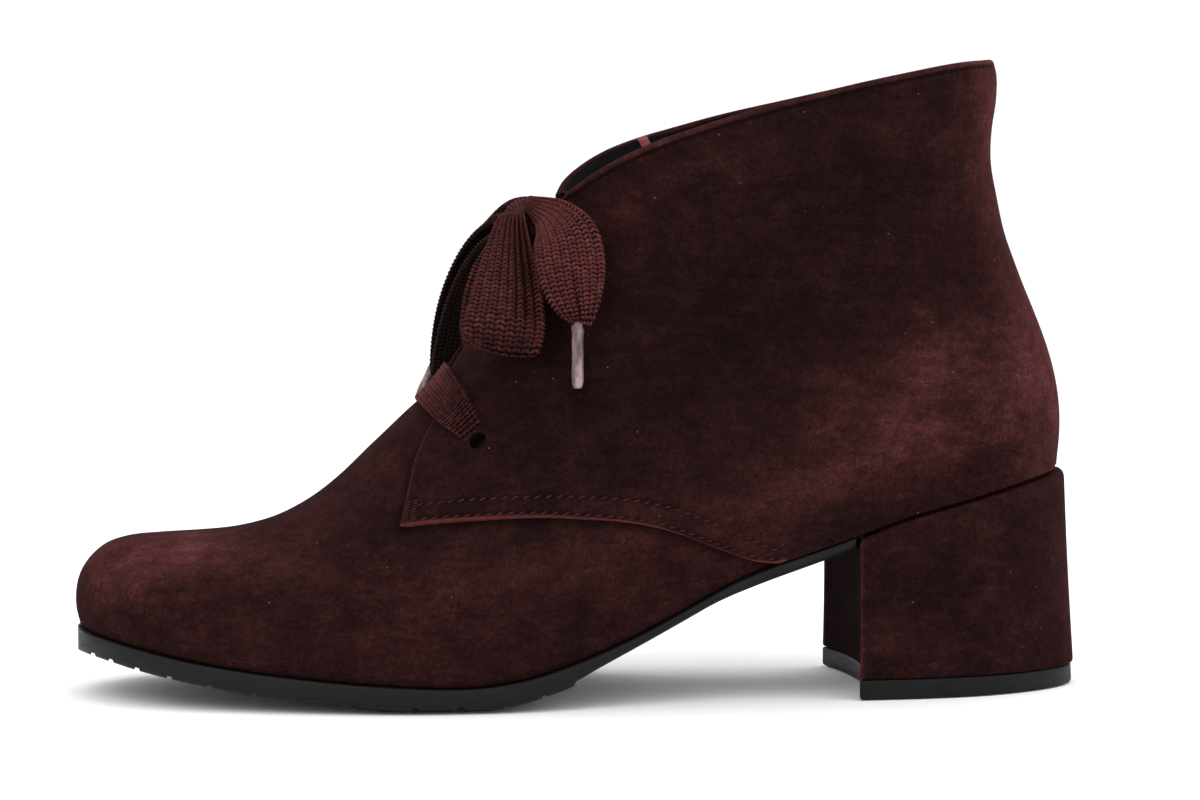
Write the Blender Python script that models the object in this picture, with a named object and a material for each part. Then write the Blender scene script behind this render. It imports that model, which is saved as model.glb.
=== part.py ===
"""Left lace-up ankle boot on a block heel.

Toe towards -X, heel towards +X, lateral side towards -Y, ground at z = 0.
The last is a field of half-widths over the side view: a body width that
changes with length and height, rounded off towards the front ridge and
towards the back seam.  Tables are in millimetres.
"""
import math

import bmesh
import bpy
import numpy as np
from mathutils import Matrix, Vector

for old in list(bpy.data.objects):
    bpy.data.objects.remove(old, do_unlink=True)

MM = 0.001

# ------------------------------------------------------------------ sizes
WALL = 2.0            # upper with its lining
CLEAR = 0.3           # gap where curved pieces meet
RISE = 24.0           # height over which the feather width grows to the mid width
ANKLE_LOW, ANKLE_HIGH = 62.0, 122.0   # body widths give way to shaft widths
CENTRE_X = -0.8       # shifts that centre the whole boot on x = 0 and y = 0
CENTRE_Y = 1.95

SOLE_MARGIN = 0.7     # sole edge proud of the feather
TREAD_END = -4.0      # forefoot tread slab stops here
BREAST_X = 65.8       # front corners of the heel
BREAST_HOLLOW = 4.8   # depth of the hollow in the breast
LIFT = 4.8            # heel top piece
SEAT_MARGIN = 1.3     # heel block proud of the upper at the seat
INSOLE_THICK = 2.6
TONGUE_THICK = 2.2
TONGUE_HALF = 23.0
EYELET_D = 5.0
LACE_THICK = 1.6
CORD_THICK = 2.2

# front outline of the upper in the side view: toe front, ridge, throat, collar front
FRONT = [  # x, z
    (-121.4, 16.4), (-122.4, 20.4), (-122.5, 24.4), (-121.5, 29.0), (-119.0, 33.0),
    (-115.2, 36.2), (-110.0, 38.0), (-102.0, 38.9), (-92.0, 39.4), (-83.0, 40.2),
    (-75.0, 42.0), (-67.0, 45.6), (-58.5, 51.6), (-50.0, 59.7), (-42.0, 67.9),
    (-34.0, 76.8), (-26.0, 87.2), (-18.0, 98.8), (-10.8, 110.4), (-5.2, 120.6),
]
# feather line, where the upper meets the sole and the heel seat
FEATHER = [  # x, z
    (-121.4, 16.4), (-116.0, 15.6), (-106.0, 13.8), (-94.0, 11.6), (-82.0, 9.8),
    (-68.0, 8.3), (-54.0, 7.1), (-42.0, 6.4), (-33.0, 6.1), (-25.0, 6.4),
    (-16.0, 7.7), (-6.0, 10.4), (4.0, 14.0), (14.0, 18.3), (24.0, 23.2),
    (34.0, 28.3), (44.0, 32.3), (54.0, 35.5), (66.0, 39.6), (78.0, 44.0),
    (92.0, 48.0), (106.0, 51.6), (114.0, 53.2), (119.7, 54.2),
]
# back seam from the heel seat to the collar
BACK = [  # x, z
    (119.7, 54.2), (120.5, 62.0), (120.3, 71.0), (118.6, 80.5), (115.0, 91.0),
    (110.7, 101.8), (106.9, 112.2), (104.2, 121.5), (102.7, 130.0), (102.9, 137.5),
    (103.9, 144.5), (103.9, 150.6), (103.0, 154.6),
]
# topline from the back seam to the collar front
TOPLINE = [  # x, z, drop on the medial side
    (103.0, 154.6, 0.0), (94.0, 153.7, 0.8), (74.4, 150.2, 1.6), (55.3, 145.9, 1.5), (40.9, 142.3, 1.1),
    (26.6, 138.0, 0.6), (17.1, 134.9, 0.2), (9.0, 131.6, 0.0), (2.9, 128.2, 0.0), (-1.6, 124.8, 0.0), (-5.2, 120.6, 0.0),
]
# unrounded half-widths along the boot and its swing to the inside of the foot
BODY = [  # x, lateral at feather, lateral at mid, medial at feather, medial at mid, axis y
    (-122.5, 26.5, 27.5, 25.5, 26.5, 5.0),
    (-104.0, 31.0, 32.0, 29.0, 30.0, 4.4),
    (-88.0, 35.0, 36.3, 33.0, 34.2, 3.2),
    (-70.0, 38.6, 40.2, 36.6, 38.4, 1.8),
    (-52.0, 40.6, 42.2, 38.0, 40.2, 0.4),
    (-34.0, 40.9, 42.8, 37.4, 40.2, -0.7),
    (-16.0, 39.2, 42.0, 34.2, 38.8, -1.3),
    (4.0, 34.9, 39.6, 29.6, 36.4, -1.4),
    (24.0, 30.4, 36.6, 25.4, 33.6, -1.1),
    (44.0, 27.6, 33.8, 23.8, 31.6, -0.6),
    (64.0, 27.0, 31.6, 25.2, 30.4, -0.2),
    (84.0, 27.6, 30.2, 27.2, 29.8, 0.0),
    (104.0, 27.8, 29.8, 27.8, 29.8, 0.0),
    (120.0, 27.8, 29.8, 27.8, 29.8, 0.0),
]
# half-widths of the shaft
SHAFT = [  # z, lateral, medial, back rounding
    (54.0, 30.0, 30.0, 29.0),
    (76.0, 29.8, 29.6, 30.0),
    (96.0, 29.2, 28.8, 34.0),
    (116.0, 29.6, 29.0, 37.0),
    (136.0, 31.0, 30.4, 36.0),
    (155.0, 32.2, 31.6, 34.0),
]
# rounding of the ridge: depth over which the section reaches its full width
CROWN = [  # length along the front outline, depth, squareness
    (0.0, 33.0, 2.25), (18.0, 29.0, 2.2), (32.0, 25.0, 2.1), (52.0, 26.0, 2.05),
    (70.0, 32.0, 2.0), (90.0, 44.0, 2.0), (112.0, 54.0, 2.0), (140.0, 54.0, 2.0), (205.0, 52.0, 2.0),
]
# pairing of the lower outline (feather, then back seam) with the front outline
FAN = [  # length along the lower outline, length along the front outline
    (0.0, 0.0), (2.5, 5.0), (7.0, 12.5), (14.0, 21.0), (24.0, 31.0), (40.0, 46.0),
    (60.0, 64.0), (80.0, 82.0), (100.0, 98.0), (116.0, 108.6), (130.0, 115.0), (148.0, 121.0),
    (176.0, 130.0), (206.0, 139.0), (232.0, 146.6), (250.0, 151.4), (275.0, 157.2), (300.0, 162.4),
    (325.0, 166.9), (353.1, 170.9),
]
# throat: half gap between the facings
THROAT = [  # length past the throat base, half gap
    (0.0, 0.0), (1.5, 2.4), (4.0, 3.8), (8.0, 4.6), (16.0, 5.0), (40.0, 5.6), (80.0, 6.6),
]
THROAT_BASE_X = -41.0
# lace holes
EYELETS = [  # name, x of the ridge point opposite, half distance apart
    ("lower", -37.0, 29.2),
    ("upper", -13.5, 24.0),
]
# sole underside on the centre line, ground side
UNDERSIDE = [  # x, z
    (-121.8, 10.4), (-114.0, 9.2), (-106.0, 7.6), (-96.0, 5.8), (-86.0, 4.2), (-76.0, 2.9),
    (-66.0, 1.8), (-56.0, 0.8), (-47.0, 0.0), (-40.0, 0.0), (-30.0, 0.0), (-23.0, 0.0),
    (-16.0, 1.1), (-10.0, 2.8), (-4.0, 4.8), (2.0, 7.9), (8.0, 11.1), (14.0, 14.3),
    (22.0, 18.6), (32.0, 23.7), (42.0, 27.5), (52.0, 30.9), (66.0, 35.7),
]
# plan of the heel
HEEL_PLAN = [  # share of the way from breast corner to back, seat half-width, ground half-width
    (0.0, 28.8, 29.6), (0.2, 29.1, 28.8), (0.4, 28.8, 27.2), (0.6, 26.6, 23.8), (0.75, 22.6, 19.4),
    (0.87, 16.8, 14.2), (0.95, 10.5, 8.9), (0.985, 5.7, 4.9), (1.0, 0.0, 0.0),
]
HEEL_BACK_SEAT, HEEL_BACK_GROUND = 121.4, 124.1

# bow of the lace: flat cords that hang from the knot with their faces to the side
LOOP_LATERAL = [  # x, y, z, width, lean of the width
    (-15.9, -7.6, 115.6, 5.2, 0.0), (-16.5, -11.6, 115.8, 6.0, 0.0), (-17.4, -16.8, 113.8, 8.0, 0.0),
    (-18.1, -22.0, 109.4, 10.8, 0.0), (-18.7, -26.4, 103.3, 14.4, 0.0), (-19.3, -29.8, 96.2, 17.8, -0.08),
    (-20.1, -31.6, 89.8, 19.4, -0.20), (-20.6, -30.2, 85.6, 17.8, -0.26), (-20.9, -27.6, 88.6, 18.8, -0.18),
    (-20.9, -24.4, 95.6, 17.2, -0.06), (-20.4, -20.0, 102.2, 13.6, 0.0), (-19.2, -14.8, 107.2, 9.6, 0.0),
    (-17.6, -8.6, 110.6, 7.0, 0.0),
]
LOOP_MEDIAL = [  # x, y, z, width, lean of the width
    (-15.0, 11.6, 114.8, 6.4, 0.0), (-15.8, 15.2, 115.0, 7.2, 0.0), (-17.2, 20.4, 112.6, 9.0, 0.0),
    (-19.8, 24.8, 107.4, 12.4, 0.0), (-22.0, 28.2, 100.8, 15.2, 0.0), (-23.4, 31.0, 93.4, 17.6, 0.0),
    (-24.6, 33.2, 85.0, 18.4, 0.0), (-25.2, 34.0, 78.0, 18.2, 0.0), (-25.2, 32.2, 74.4, 18.0, 0.0),
    (-24.8, 30.0, 78.4, 18.0, 0.0), (-23.8, 27.6, 86.4, 17.2, 0.0), (-22.4, 24.4, 95.0, 15.0, 0.0),
    (-20.8, 20.4, 102.2, 12.0, 0.0), (-19.0, 15.8, 107.4, 9.0, 0.0), (-17.2, 12.0, 110.0, 7.0, 0.0),
]
END_LATERAL = [  # x, y, z, width, lean of the width
    (-11.2, -7.4, 118.8, 5.0, 3.0), (-9.6, -12.4, 117.8, 8.4, 1.9), (-7.0, -20.0, 115.8, 12.6, 0.85),
    (-4.9, -27.6, 111.2, 16.4, 0.3), (-4.2, -30.8, 105.4, 16.6, 0.08), (-3.5, -32.8, 99.6, 14.4, 0.0),
    (-2.7, -33.7, 95.2, 10.6, 0.0), (-2.3, -34.1, 92.2, 6.6, 0.0), (-2.6, -34.3, 90.6, 3.4, 0.0),
]
END_MEDIAL = [  # x, y, z, width, lean of the width
    (-10.2, 11.6, 118.4, 6.0, 0.0), (-11.0, 16.0, 118.9, 8.0, 0.0), (-12.6, 21.8, 117.0, 11.0, 0.0),
    (-14.4, 27.8, 112.0, 14.4, 0.0), (-17.4, 32.8, 105.6, 16.6, 0.0), (-19.8, 36.2, 98.6, 16.8, 0.0),
    (-23.2, 37.8, 91.0, 14.0, 0.0), (-27.6, 38.4, 85.0, 9.0, 0.0), (-30.8, 38.8, 81.2, 4.6, 0.0),
]
TIP_LATERAL = [  # x, y, z
    (-2.8, -34.4, 90.0), (-2.9, -35.0, 83.0), (-3.0, -35.7, 76.4),
]
TIP_MEDIAL = [  # x, y, z
    (-31.4, 38.9, 80.2), (-34.2, 39.3, 74.4), (-36.8, 39.8, 68.4),
]
TIP_D = 3.2
KNOT_CENTRE = (-12.4, 0.0, 115.6)
KNOT_HALF = (5.4, 7.6, 4.6)

COLOURS = {
    "suede": (0.050, 0.016, 0.017, 1.0),
    "lining": (0.012, 0.011, 0.012, 1.0),
    "rubber": (0.018, 0.018, 0.018, 1.0),
    "lace": (0.075, 0.022, 0.022, 1.0),
    "tip": (0.190, 0.120, 0.125, 1.0),
}


# ------------------------------------------------------------------ curves
def dense(rows, step=0.5):
    """Smooth curve through the rows, sampled about every `step`."""
    p = np.array(rows, float)
    seg = np.maximum(np.linalg.norm(np.diff(p, axis=0), axis=1), 1e-9)
    slope = np.diff(p, axis=0) / seg[:, None]
    tan = np.empty_like(p)
    tan[0], tan[-1] = slope[0], slope[-1]
    a, b = seg[:-1, None], seg[1:, None]
    tan[1:-1] = (slope[:-1] * b + slope[1:] * a) / (a + b)
    out = [p[:1]]
    for i, length in enumerate(seg):
        n = max(2, int(math.ceil(length / step)))
        u = (np.arange(1, n + 1) / n)[:, None]
        h00, h10 = 2 * u**3 - 3 * u**2 + 1, u**3 - 2 * u**2 + u
        h01, h11 = -2 * u**3 + 3 * u**2, u**3 - u**2
        out.append(h00 * p[i] + h10 * length * tan[i] + h01 * p[i + 1] + h11 * length * tan[i + 1])
    return np.vstack(out)


def run_length(curve):
    return np.concatenate([[0.0], np.cumsum(np.linalg.norm(np.diff(curve, axis=0), axis=1))])


def along(curve, length, s):
    s = np.asarray(s, float)
    return np.stack([np.interp(s, length, curve[:, i]) for i in range(curve.shape[1])], axis=-1)


def column(rows, key, value):
    """Smooth function of one table column by another."""
    p = dense([(r[key], r[value]) for r in rows], 0.5)
    return lambda q: np.interp(q, p[:, 0], p[:, 1])


def ease(u):
    u = np.clip(u, 0.0, 1.0)
    return u * u * (3.0 - 2.0 * u)


def dome(u, power):
    u = np.clip(u, 0.0, 1.0)
    return np.maximum(1.0 - (1.0 - u) ** power, 0.0) ** (1.0 / power)


# ------------------------------------------------------------------ last
front = dense(FRONT)
front_s = run_length(front)
feather = dense(FEATHER)
back = dense(BACK)
topline_rows = dense(TOPLINE)
topline = topline_rows[:, :2]
topline_s = run_length(topline)
medial_drop = topline_rows[:, 2]
lower = np.vstack([feather, back[1:]])
lower_s = run_length(lower)
FEATHER_END = run_length(feather)[-1]
LOWER_END, FRONT_END = lower_s[-1], front_s[-1]

body = {key: column(BODY, 0, i + 1) for i, key in enumerate(("lat_f", "lat_m", "med_f", "med_m", "axis"))}
shaft = {key: column(SHAFT, 0, i + 1) for i, key in enumerate(("lat", "med", "back"))}
crown_depth, crown_power = column(CROWN, 0, 1), column(CROWN, 0, 2)
throat_gap = column(THROAT, 0, 1)


def feather_z(x):
    return np.interp(x, feather[:, 0], feather[:, 1])


def nearest(curve, x, z):
    """Distance of points from a curve, and the nearest sample of the curve."""
    q = np.stack([np.ravel(x), np.ravel(z)], axis=1)
    i = ((q[:, None, :] - curve[None]) ** 2).sum(axis=2).argmin(axis=1)
    best = np.full(len(q), 1e9)
    for lo in (np.maximum(i - 1, 0), np.minimum(i, len(curve) - 2)):
        a, d = curve[lo], curve[lo + 1] - curve[lo]
        u = np.clip(((q - a) * d).sum(axis=1) / (d * d).sum(axis=1), 0.0, 1.0)
        best = np.minimum(best, np.linalg.norm(q - a - d * u[:, None], axis=1))
    return best.reshape(np.shape(x)), i.reshape(np.shape(x))


def half_width(side, x, z):
    """Half-width of the last's outside at a point of the side view."""
    x, z = np.asarray(x, float), np.asarray(z, float)
    low = body[side + "_f"](x)
    mid = body[side + "_m"](x)
    w = low + (mid - low) * ease((z - feather_z(x)) / RISE)
    w = w + (shaft[side](z) - w) * ease((z - ANKLE_LOW) / (ANKLE_HIGH - ANKLE_LOW)) * ease((x + 45.0) / 45.0)
    d, i = nearest(front, x, z)
    s = front_s[i]
    w = w * dome(d / crown_depth(s), crown_power(s))
    d, _ = nearest(back, x, z)
    return w * dome(d / shaft["back"](z), 2.0)


def axis_y(x):
    return body["axis"](x) + CENTRE_Y


def place(side, x, z, w):
    sign = -1.0 if side == "lat" else 1.0
    return np.stack([x, axis_y(x) + sign * w, z], axis=-1)


def front_at(x):
    """Length along the front outline of the ridge point at x."""
    ridge = front[:, 1] > 39.0
    return float(np.interp(x, front[ridge, 0], front_s[ridge]))


def inward(s):
    a, b = along(front, front_s, s - 0.5), along(front, front_s, s + 0.5)
    d = (b - a) / np.linalg.norm(b - a)
    return np.array([d[1], -d[0]])


def on_ridge(side, s, y):
    """Point of the outside, below the ridge point at s, that is y off the axis."""
    p, n = along(front, front_s, s), inward(s)
    lo, hi = 0.0, 45.0
    for _ in range(40):
        m = 0.5 * (lo + hi)
        q = p + n * m
        if half_width(side, q[0:1], q[1:2])[0] < y:
            lo = m
        else:
            hi = m
    q = p + n * hi
    return place(side, q[0], q[1], y)


def outward(side, x, z):
    """Unit normal of the outside at a point of the side view."""
    e = 0.3
    dx = (half_width(side, [x + e], [z])[0] - half_width(side, [x - e], [z])[0]) / (2 * e)
    dz = (half_width(side, [x], [z + e])[0] - half_width(side, [x], [z - e])[0]) / (2 * e)
    n = np.array([-dx, -1.0 if side == "lat" else 1.0, -dz])
    return n / np.linalg.norm(n)


THROAT_BASE = front_at(THROAT_BASE_X)


# ------------------------------------------------------------------ meshes
def material(name, colour, rough):
    m = bpy.data.materials.new(name)
    m.use_nodes = True
    node = m.node_tree.nodes["Principled BSDF"]
    node.inputs["Base Color"].default_value = colour
    node.inputs["Roughness"].default_value = rough
    m.diffuse_color = colour
    return m


def mesh_object(name, bm, mat):
    bmesh.ops.remove_doubles(bm, verts=bm.verts, dist=2e-6)
    bmesh.ops.dissolve_degenerate(bm, edges=bm.edges, dist=1e-6)
    bmesh.ops.triangulate(bm, faces=bm.faces)
    bmesh.ops.recalc_face_normals(bm, faces=bm.faces)
    if bm.calc_volume(signed=True) < 0.0:
        bmesh.ops.reverse_faces(bm, faces=bm.faces)
    me = bpy.data.meshes.new(name)
    bm.to_mesh(me)
    bm.free()
    ob = bpy.data.objects.new(name, me)
    bpy.context.scene.collection.objects.link(ob)
    ob.data.materials.append(material(name, COLOURS[mat], 0.85))
    return ob


def add_grid(bm, pts, flip=False, close=False):
    """Quads over a rows x columns array of points in millimetres."""
    v = [[bm.verts.new(Vector((p[0] + CENTRE_X, p[1], p[2])) * MM) for p in row] for row in pts]
    rows, cols = len(v), len(v[0])
    for i in range(rows - 1):
        for j in range(cols if close else cols - 1):
            k = (j + 1) % cols
            f = [v[i][j], v[i + 1][j], v[i + 1][k], v[i][k]]
            bm.faces.new(f[::-1] if flip else f)
    return v


def thicken(bm, thickness, keep_down=None):
    """Give an open shell a wall on its inner side and close the rims."""
    bmesh.ops.remove_doubles(bm, verts=bm.verts, dist=2e-6)
    bmesh.ops.dissolve_degenerate(bm, edges=bm.edges, dist=1e-6)
    bm.normal_update()
    outer = list(bm.verts)
    faces = list(bm.faces)
    rims = [e for e in bm.edges if e.is_boundary]
    rim_loops = [(e.verts[0], e.verts[1], e.link_faces[0]) for e in rims]
    pair = {}
    for v in outer:
        co = v.co - v.normal * (thickness * MM)
        if keep_down is not None and keep_down(v):
            co.z = v.co.z
        pair[v] = bm.verts.new(co)
    for f in faces:
        bm.faces.new([pair[v] for v in reversed(f.verts)])
    for a, b, f in rim_loops:
        order = list(f.verts)
        if order[(order.index(a) + 1) % len(order)] is not b:
            a, b = b, a
        bm.faces.new([b, a, pair[a], pair[b]])


def closed_sweep(name, rings, mat):
    """Solid through a list of closed rings with flat ends."""
    bm = bmesh.new()
    v = add_grid(bm, rings, close=True)
    bm.faces.new(v[0])
    bm.faces.new(v[-1][::-1])
    return mesh_object(name, bm, mat)


# ------------------------------------------------------------------ upper
def ring_stations():
    toe = 30.0 * (np.arange(9) / 8.0) ** 1.7
    fore = np.linspace(30.0, 226.0, 17)[1:]
    heel = 226.0 + (FEATHER_END - 226.0) * np.sin(np.linspace(0, math.pi / 2, 7))[1:]
    leg = np.linspace(FEATHER_END, LOWER_END, 12)[1:]
    return np.concatenate([toe, fore, heel, leg])


def fan_front(b):
    rows = dense(FAN, 0.5)
    return np.minimum(np.interp(b, rows[:, 0], rows[:, 1]), FRONT_END)


def ring_path(side, b):
    """Side-view path of one section from the lower outline to the front outline."""
    base, top = along(lower, lower_s, b), along(front, front_s, fan_front(b))
    h = np.linspace(0.0, 1.0, 401)
    path = base + (top - base) * h[:, None]
    lift = ease((b - FEATHER_END) / (LOWER_END - FEATHER_END)) if b > FEATHER_END else 0.0
    line = along(topline, topline_s, h * topline_s[-1])
    if side == "med":
        line[:, 1] -= np.interp(h * topline_s[-1], topline_s, medial_drop)
    chord = line[0] + (line[-1] - line[0]) * h[:, None]
    path = path + (line - chord) * lift
    if b > LOWER_END - 1e-6:
        path = line
    return path


COLS = 15


def upper_ring(side, b):
    path = ring_path(side, b)
    w = half_width(side, path[:, 0], path[:, 1])
    w[-1] = 0.0
    gap = float(throat_gap(max(fan_front(b) - THROAT_BASE, 0.0)))
    last = len(path) - 1
    if gap > 0.05:
        back_half = len(path) // 2
        last = back_half + int(np.argmax(w[back_half:] < gap))
    pts = place(side, path[: last + 1, 0], path[: last + 1, 1], w[: last + 1])
    if gap > 0.05:
        pts[-1, 1] = axis_y(pts[-1, 0]) + (-gap if side == "lat" else gap)
    else:
        pts[-1, 1] = axis_y(pts[-1, 0])
    if b >= FEATHER_END - 1e-6:
        pts[0, 1] = axis_y(pts[0, 0])
    s = run_length(pts)
    u = np.linspace(0.0, 1.0, COLS)
    u = u + (0.035 * np.sin(2 * math.pi * u) if s[-1] > 1 else 0.0)
    return along(pts, s, u * s[-1])


bm = bmesh.new()
stations = ring_stations()
for side, flip in (("lat", False), ("med", True)):
    add_grid(bm, [upper_ring(side, b) for b in stations], flip=flip)
thicken(bm, WALL, keep_down=lambda v: v.is_boundary and v.co.z <= feather_z(v.co.x / MM - CENTRE_X) * MM + 3e-5 and v.co.z < 0.0545)
upper = mesh_object("upper", bm, "suede")


def cut(target, axis_point, axis, radius, length, sides=14):
    me = bpy.data.meshes.new("hole")
    hb = bmesh.new()
    turn = Vector((0, 0, 1)).rotation_difference(Vector(axis)).to_matrix().to_4x4()
    bmesh.ops.create_cone(
        hb, cap_ends=True, segments=sides, radius1=radius * MM, radius2=radius * MM, depth=length * MM,
        matrix=Matrix.Translation(Vector((axis_point[0] + CENTRE_X, axis_point[1], axis_point[2])) * MM) @ turn,
    )
    hb.to_mesh(me)
    hb.free()
    tool = bpy.data.objects.new("hole", me)
    bpy.context.scene.collection.objects.link(tool)
    tool.hide_render = True
    tool.display_type = "WIRE"
    mod = target.modifiers.new("hole", "BOOLEAN")
    mod.operation = "DIFFERENCE"
    mod.solver = "EXACT"
    mod.object = tool
    dg = bpy.context.evaluated_depsgraph_get()
    new = bpy.data.meshes.new_from_object(target.evaluated_get(dg))
    target.modifiers.clear()
    target.data = new
    bpy.data.objects.remove(tool, do_unlink=True)


eyelet_at = {}
for label, ridge_x, apart in EYELETS:
    for side in ("lat", "med"):
        p = on_ridge(side, front_at(ridge_x), apart)
        n = outward(side, p[0], p[2])
        eyelet_at[label, side] = (p, n)
        cut(upper, p, n, EYELET_D / 2, 9.0)
tidy = bmesh.new()
tidy.from_mesh(upper.data)
bmesh.ops.remove_doubles(tidy, verts=tidy.verts, dist=1e-5)
bmesh.ops.triangulate(tidy, faces=tidy.faces)
tidy.to_mesh(upper.data)
tidy.free()

# ------------------------------------------------------------------ tongue
tongue_s = np.linspace(THROAT_BASE - 12.0, FRONT_END - 4.0, 14)
tongue_y = TONGUE_HALF * np.sin(np.linspace(-math.pi / 2, math.pi / 2, 13))
skin = []
for s in tongue_s:
    row = []
    for y in tongue_y:
        side = "lat" if y < 0 else "med"
        row.append(on_ridge(side, s, max(abs(y), 1e-4)))
    skin.append(row)
skin = np.array(skin)
du = np.gradient(skin, axis=0)
dv = np.gradient(skin, axis=1)
normal = np.cross(du, dv)
normal /= np.linalg.norm(normal, axis=2, keepdims=True)
if normal[7, 6, 2] < 0:
    normal = -normal
top = skin - normal * (WALL + 4 * CLEAR)
bm = bmesh.new()
add_grid(bm, top, flip=False)
bm.normal_update()
if sum(f.normal.z for f in bm.faces) < 0:
    bmesh.ops.reverse_faces(bm, faces=bm.faces)
thicken(bm, TONGUE_THICK)
mesh_object("tongue", bm, "suede")


# ------------------------------------------------------------------ outlines in plan
def edge_pair(x, inset=0.0):
    """Lateral and medial edge of the feather at x."""
    z = feather_z(x)
    lat = half_width("lat", np.atleast_1d(x), np.atleast_1d(z))
    med = half_width("med", np.atleast_1d(x), np.atleast_1d(z))
    return axis_y(np.atleast_1d(x)) - lat, axis_y(np.atleast_1d(x)) + med


def offset_outline(xs, margin):
    """Feather outline moved sideways by a margin, as matched lateral and medial rows."""
    lat, med = edge_pair(xs)
    rows = []
    for ys, sign in ((lat, -1.0), (med, 1.0)):
        pts = np.stack([xs, ys], axis=1)
        d = np.gradient(pts, axis=0)
        n = np.stack([-d[:, 1], d[:, 0]], axis=1)
        n /= np.maximum(np.linalg.norm(n, axis=1, keepdims=True), 1e-9)
        n *= np.sign(n[:, 1:2] * sign + 1e-12)
        rows.append(pts + n * margin)
    return rows


def toe_spaced(x0, x1, n, power=2.0):
    u = np.linspace(0.0, 1.0, n)
    return x0 + (x1 - x0) * u**power


# ------------------------------------------------------------------ outsole
under = dense(UNDERSIDE)
tip_x = -121.4
xs = np.concatenate([
    toe_spaced(tip_x, -104.0, 8), np.linspace(-104.0, -47.0, 9)[1:], np.array([-40.0, -30.0, -23.0]),
    np.linspace(-23.0, TREAD_END, 5)[1:], np.array([TREAD_END + 0.9]), np.linspace(TREAD_END + 0.9, BREAST_X - 6.0, 11)[1:], np.array([BREAST_X - 2 * CLEAR]),
])
lat_edge, med_edge = offset_outline(xs, SOLE_MARGIN)
rings = []
for i, x in enumerate(xs):
    (xa, ya), (xb, yb) = lat_edge[i], med_edge[i]
    if i == 0:
        xa = xb = tip_x + 0.3
        ya, yb = axis_y(tip_x) - 1.2, axis_y(tip_x) + 1.2
    z_top = feather_z(x) - CLEAR
    z_low = float(np.interp(x, under[:, 0], under[:, 1]))
    if x > TREAD_END + 0.5:
        z_low = max(z_low, 0.0) + 0.9 * (1 - ease((x - TREAD_END - 0.9) / 30.0))
    z_low = min(z_low, z_top - 2.0)
    wide = yb - ya
    roll = min(1.0, wide / 12.0)
    edge_lift = 1.5 * roll
    inset = min(3.0, wide * 0.12)
    flat = min(9.0, wide * 0.24)
    ring = [
        (xa, ya, z_top), (xa, ya - 0.0, z_low + edge_lift + 0.4 * (z_top - z_low - edge_lift)),
        (xa, ya + inset * 0.22, z_low + edge_lift), (xa, ya + inset, z_low + 0.35 * edge_lift),
        (xa, ya + flat, z_low), (0.5 * (xa + xb), 0.5 * (ya + yb), z_low), (xb, yb - flat, z_low),
        (xb, yb - inset, z_low + 0.35 * edge_lift), (xb, yb - inset * 0.22, z_low + edge_lift),
        (xb, yb, z_low + edge_lift + 0.4 * (z_top - z_low - edge_lift)), (xb, yb, z_top),
        (0.5 * (xa + xb), 0.5 * (ya + yb), z_top),
    ]
    if i == len(xs) - 1:
        # the end of the sole is rounded to lie against the hollow breast
        middle = 0.5 * (ya + yb)
        tail = []
        for px, py, pz in ring:
            px = px + (BREAST_HOLLOW - CLEAR) * (1.0 - ((py - middle) / (0.5 * wide)) ** 2)
            tail.append((px, py, pz + feather_z(px) - feather_z(x)))
        ring = tail
    rings.append(ring)
closed_sweep("outsole", rings, "rubber")

# ------------------------------------------------------------------ heel
seat_w, ground_w = column(HEEL_PLAN, 0, 1), column(HEEL_PLAN, 0, 2)
share = np.concatenate([np.linspace(0, 0.6, 7), np.array([0.7, 0.78, 0.85, 0.905, 0.95, 0.98, 1.0])])
across = np.linspace(-1.0, 1.0, 9)


def heel_grid(width_at, back_x, z_at):
    grid = []
    for u in share:
        row = []
        for t in across:
            start = BREAST_X + BREAST_HOLLOW * (1.0 - t * t)
            x = start + (back_x - start) * u
            reach = (x - BREAST_X) / (back_x - BREAST_X)
            y = CENTRE_Y + t * float(width_at(reach))
            row.append((x, y, float(z_at(x))))
        grid.append(row)
    return np.array(grid)


def heel_solid(name, top, low, mat):
    bm = bmesh.new()
    vt = add_grid(bm, top)
    vb = add_grid(bm, low, flip=True)
    rows, cols = len(vt), len(vt[0])
    loop = [(0, j) for j in range(cols)] + [(i, cols - 1) for i in range(1, rows)]
    loop += [(rows - 1, j) for j in range(cols - 2, -1, -1)] + [(i, 0) for i in range(rows - 2, 0, -1)]
    for (i, j), (m, n) in zip(loop, loop[1:] + loop[:1]):
        bm.faces.new([vt[i][j], vt[m][n], vb[m][n], vb[i][j]])
    return mesh_object(name, bm, mat)


seat_grid = heel_grid(seat_w, HEEL_BACK_SEAT, lambda x: feather_z(min(x, 119.7)) - CLEAR)
block_low = heel_grid(ground_w, HEEL_BACK_GROUND - 0.3, lambda x: LIFT + CLEAR)
heel_solid("heel_block", seat_grid, block_low, "suede")
heel_solid(
    "heel_top_piece",
    heel_grid(ground_w, HEEL_BACK_GROUND - 0.2, lambda x: LIFT),
    heel_grid(ground_w, HEEL_BACK_GROUND, lambda x: 0.0), "rubber",
)

# ------------------------------------------------------------------ insole
outline_x = tip_x + (119.7 - tip_x) * 0.5 * (1 - np.cos(np.linspace(0, math.pi, 400)))
outline_lat, outline_med = edge_pair(outline_x)
outline = np.vstack([np.stack([outline_x, outline_lat], axis=1), np.stack([outline_x, outline_med], axis=1)])


def inset_y(x, edge, distance):
    """Last y on the way from the axis to the edge that is still `distance` off the outline."""
    ys = np.linspace(float(axis_y(x)), edge, 200)
    off = np.sqrt(((outline[None, :, 0] - x) ** 2 + (outline[None, :, 1] - ys[:, None]) ** 2).min(axis=1))
    good = np.nonzero(off >= distance)[0]
    return float(ys[good[-1]]) if len(good) else float(ys[0])


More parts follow.
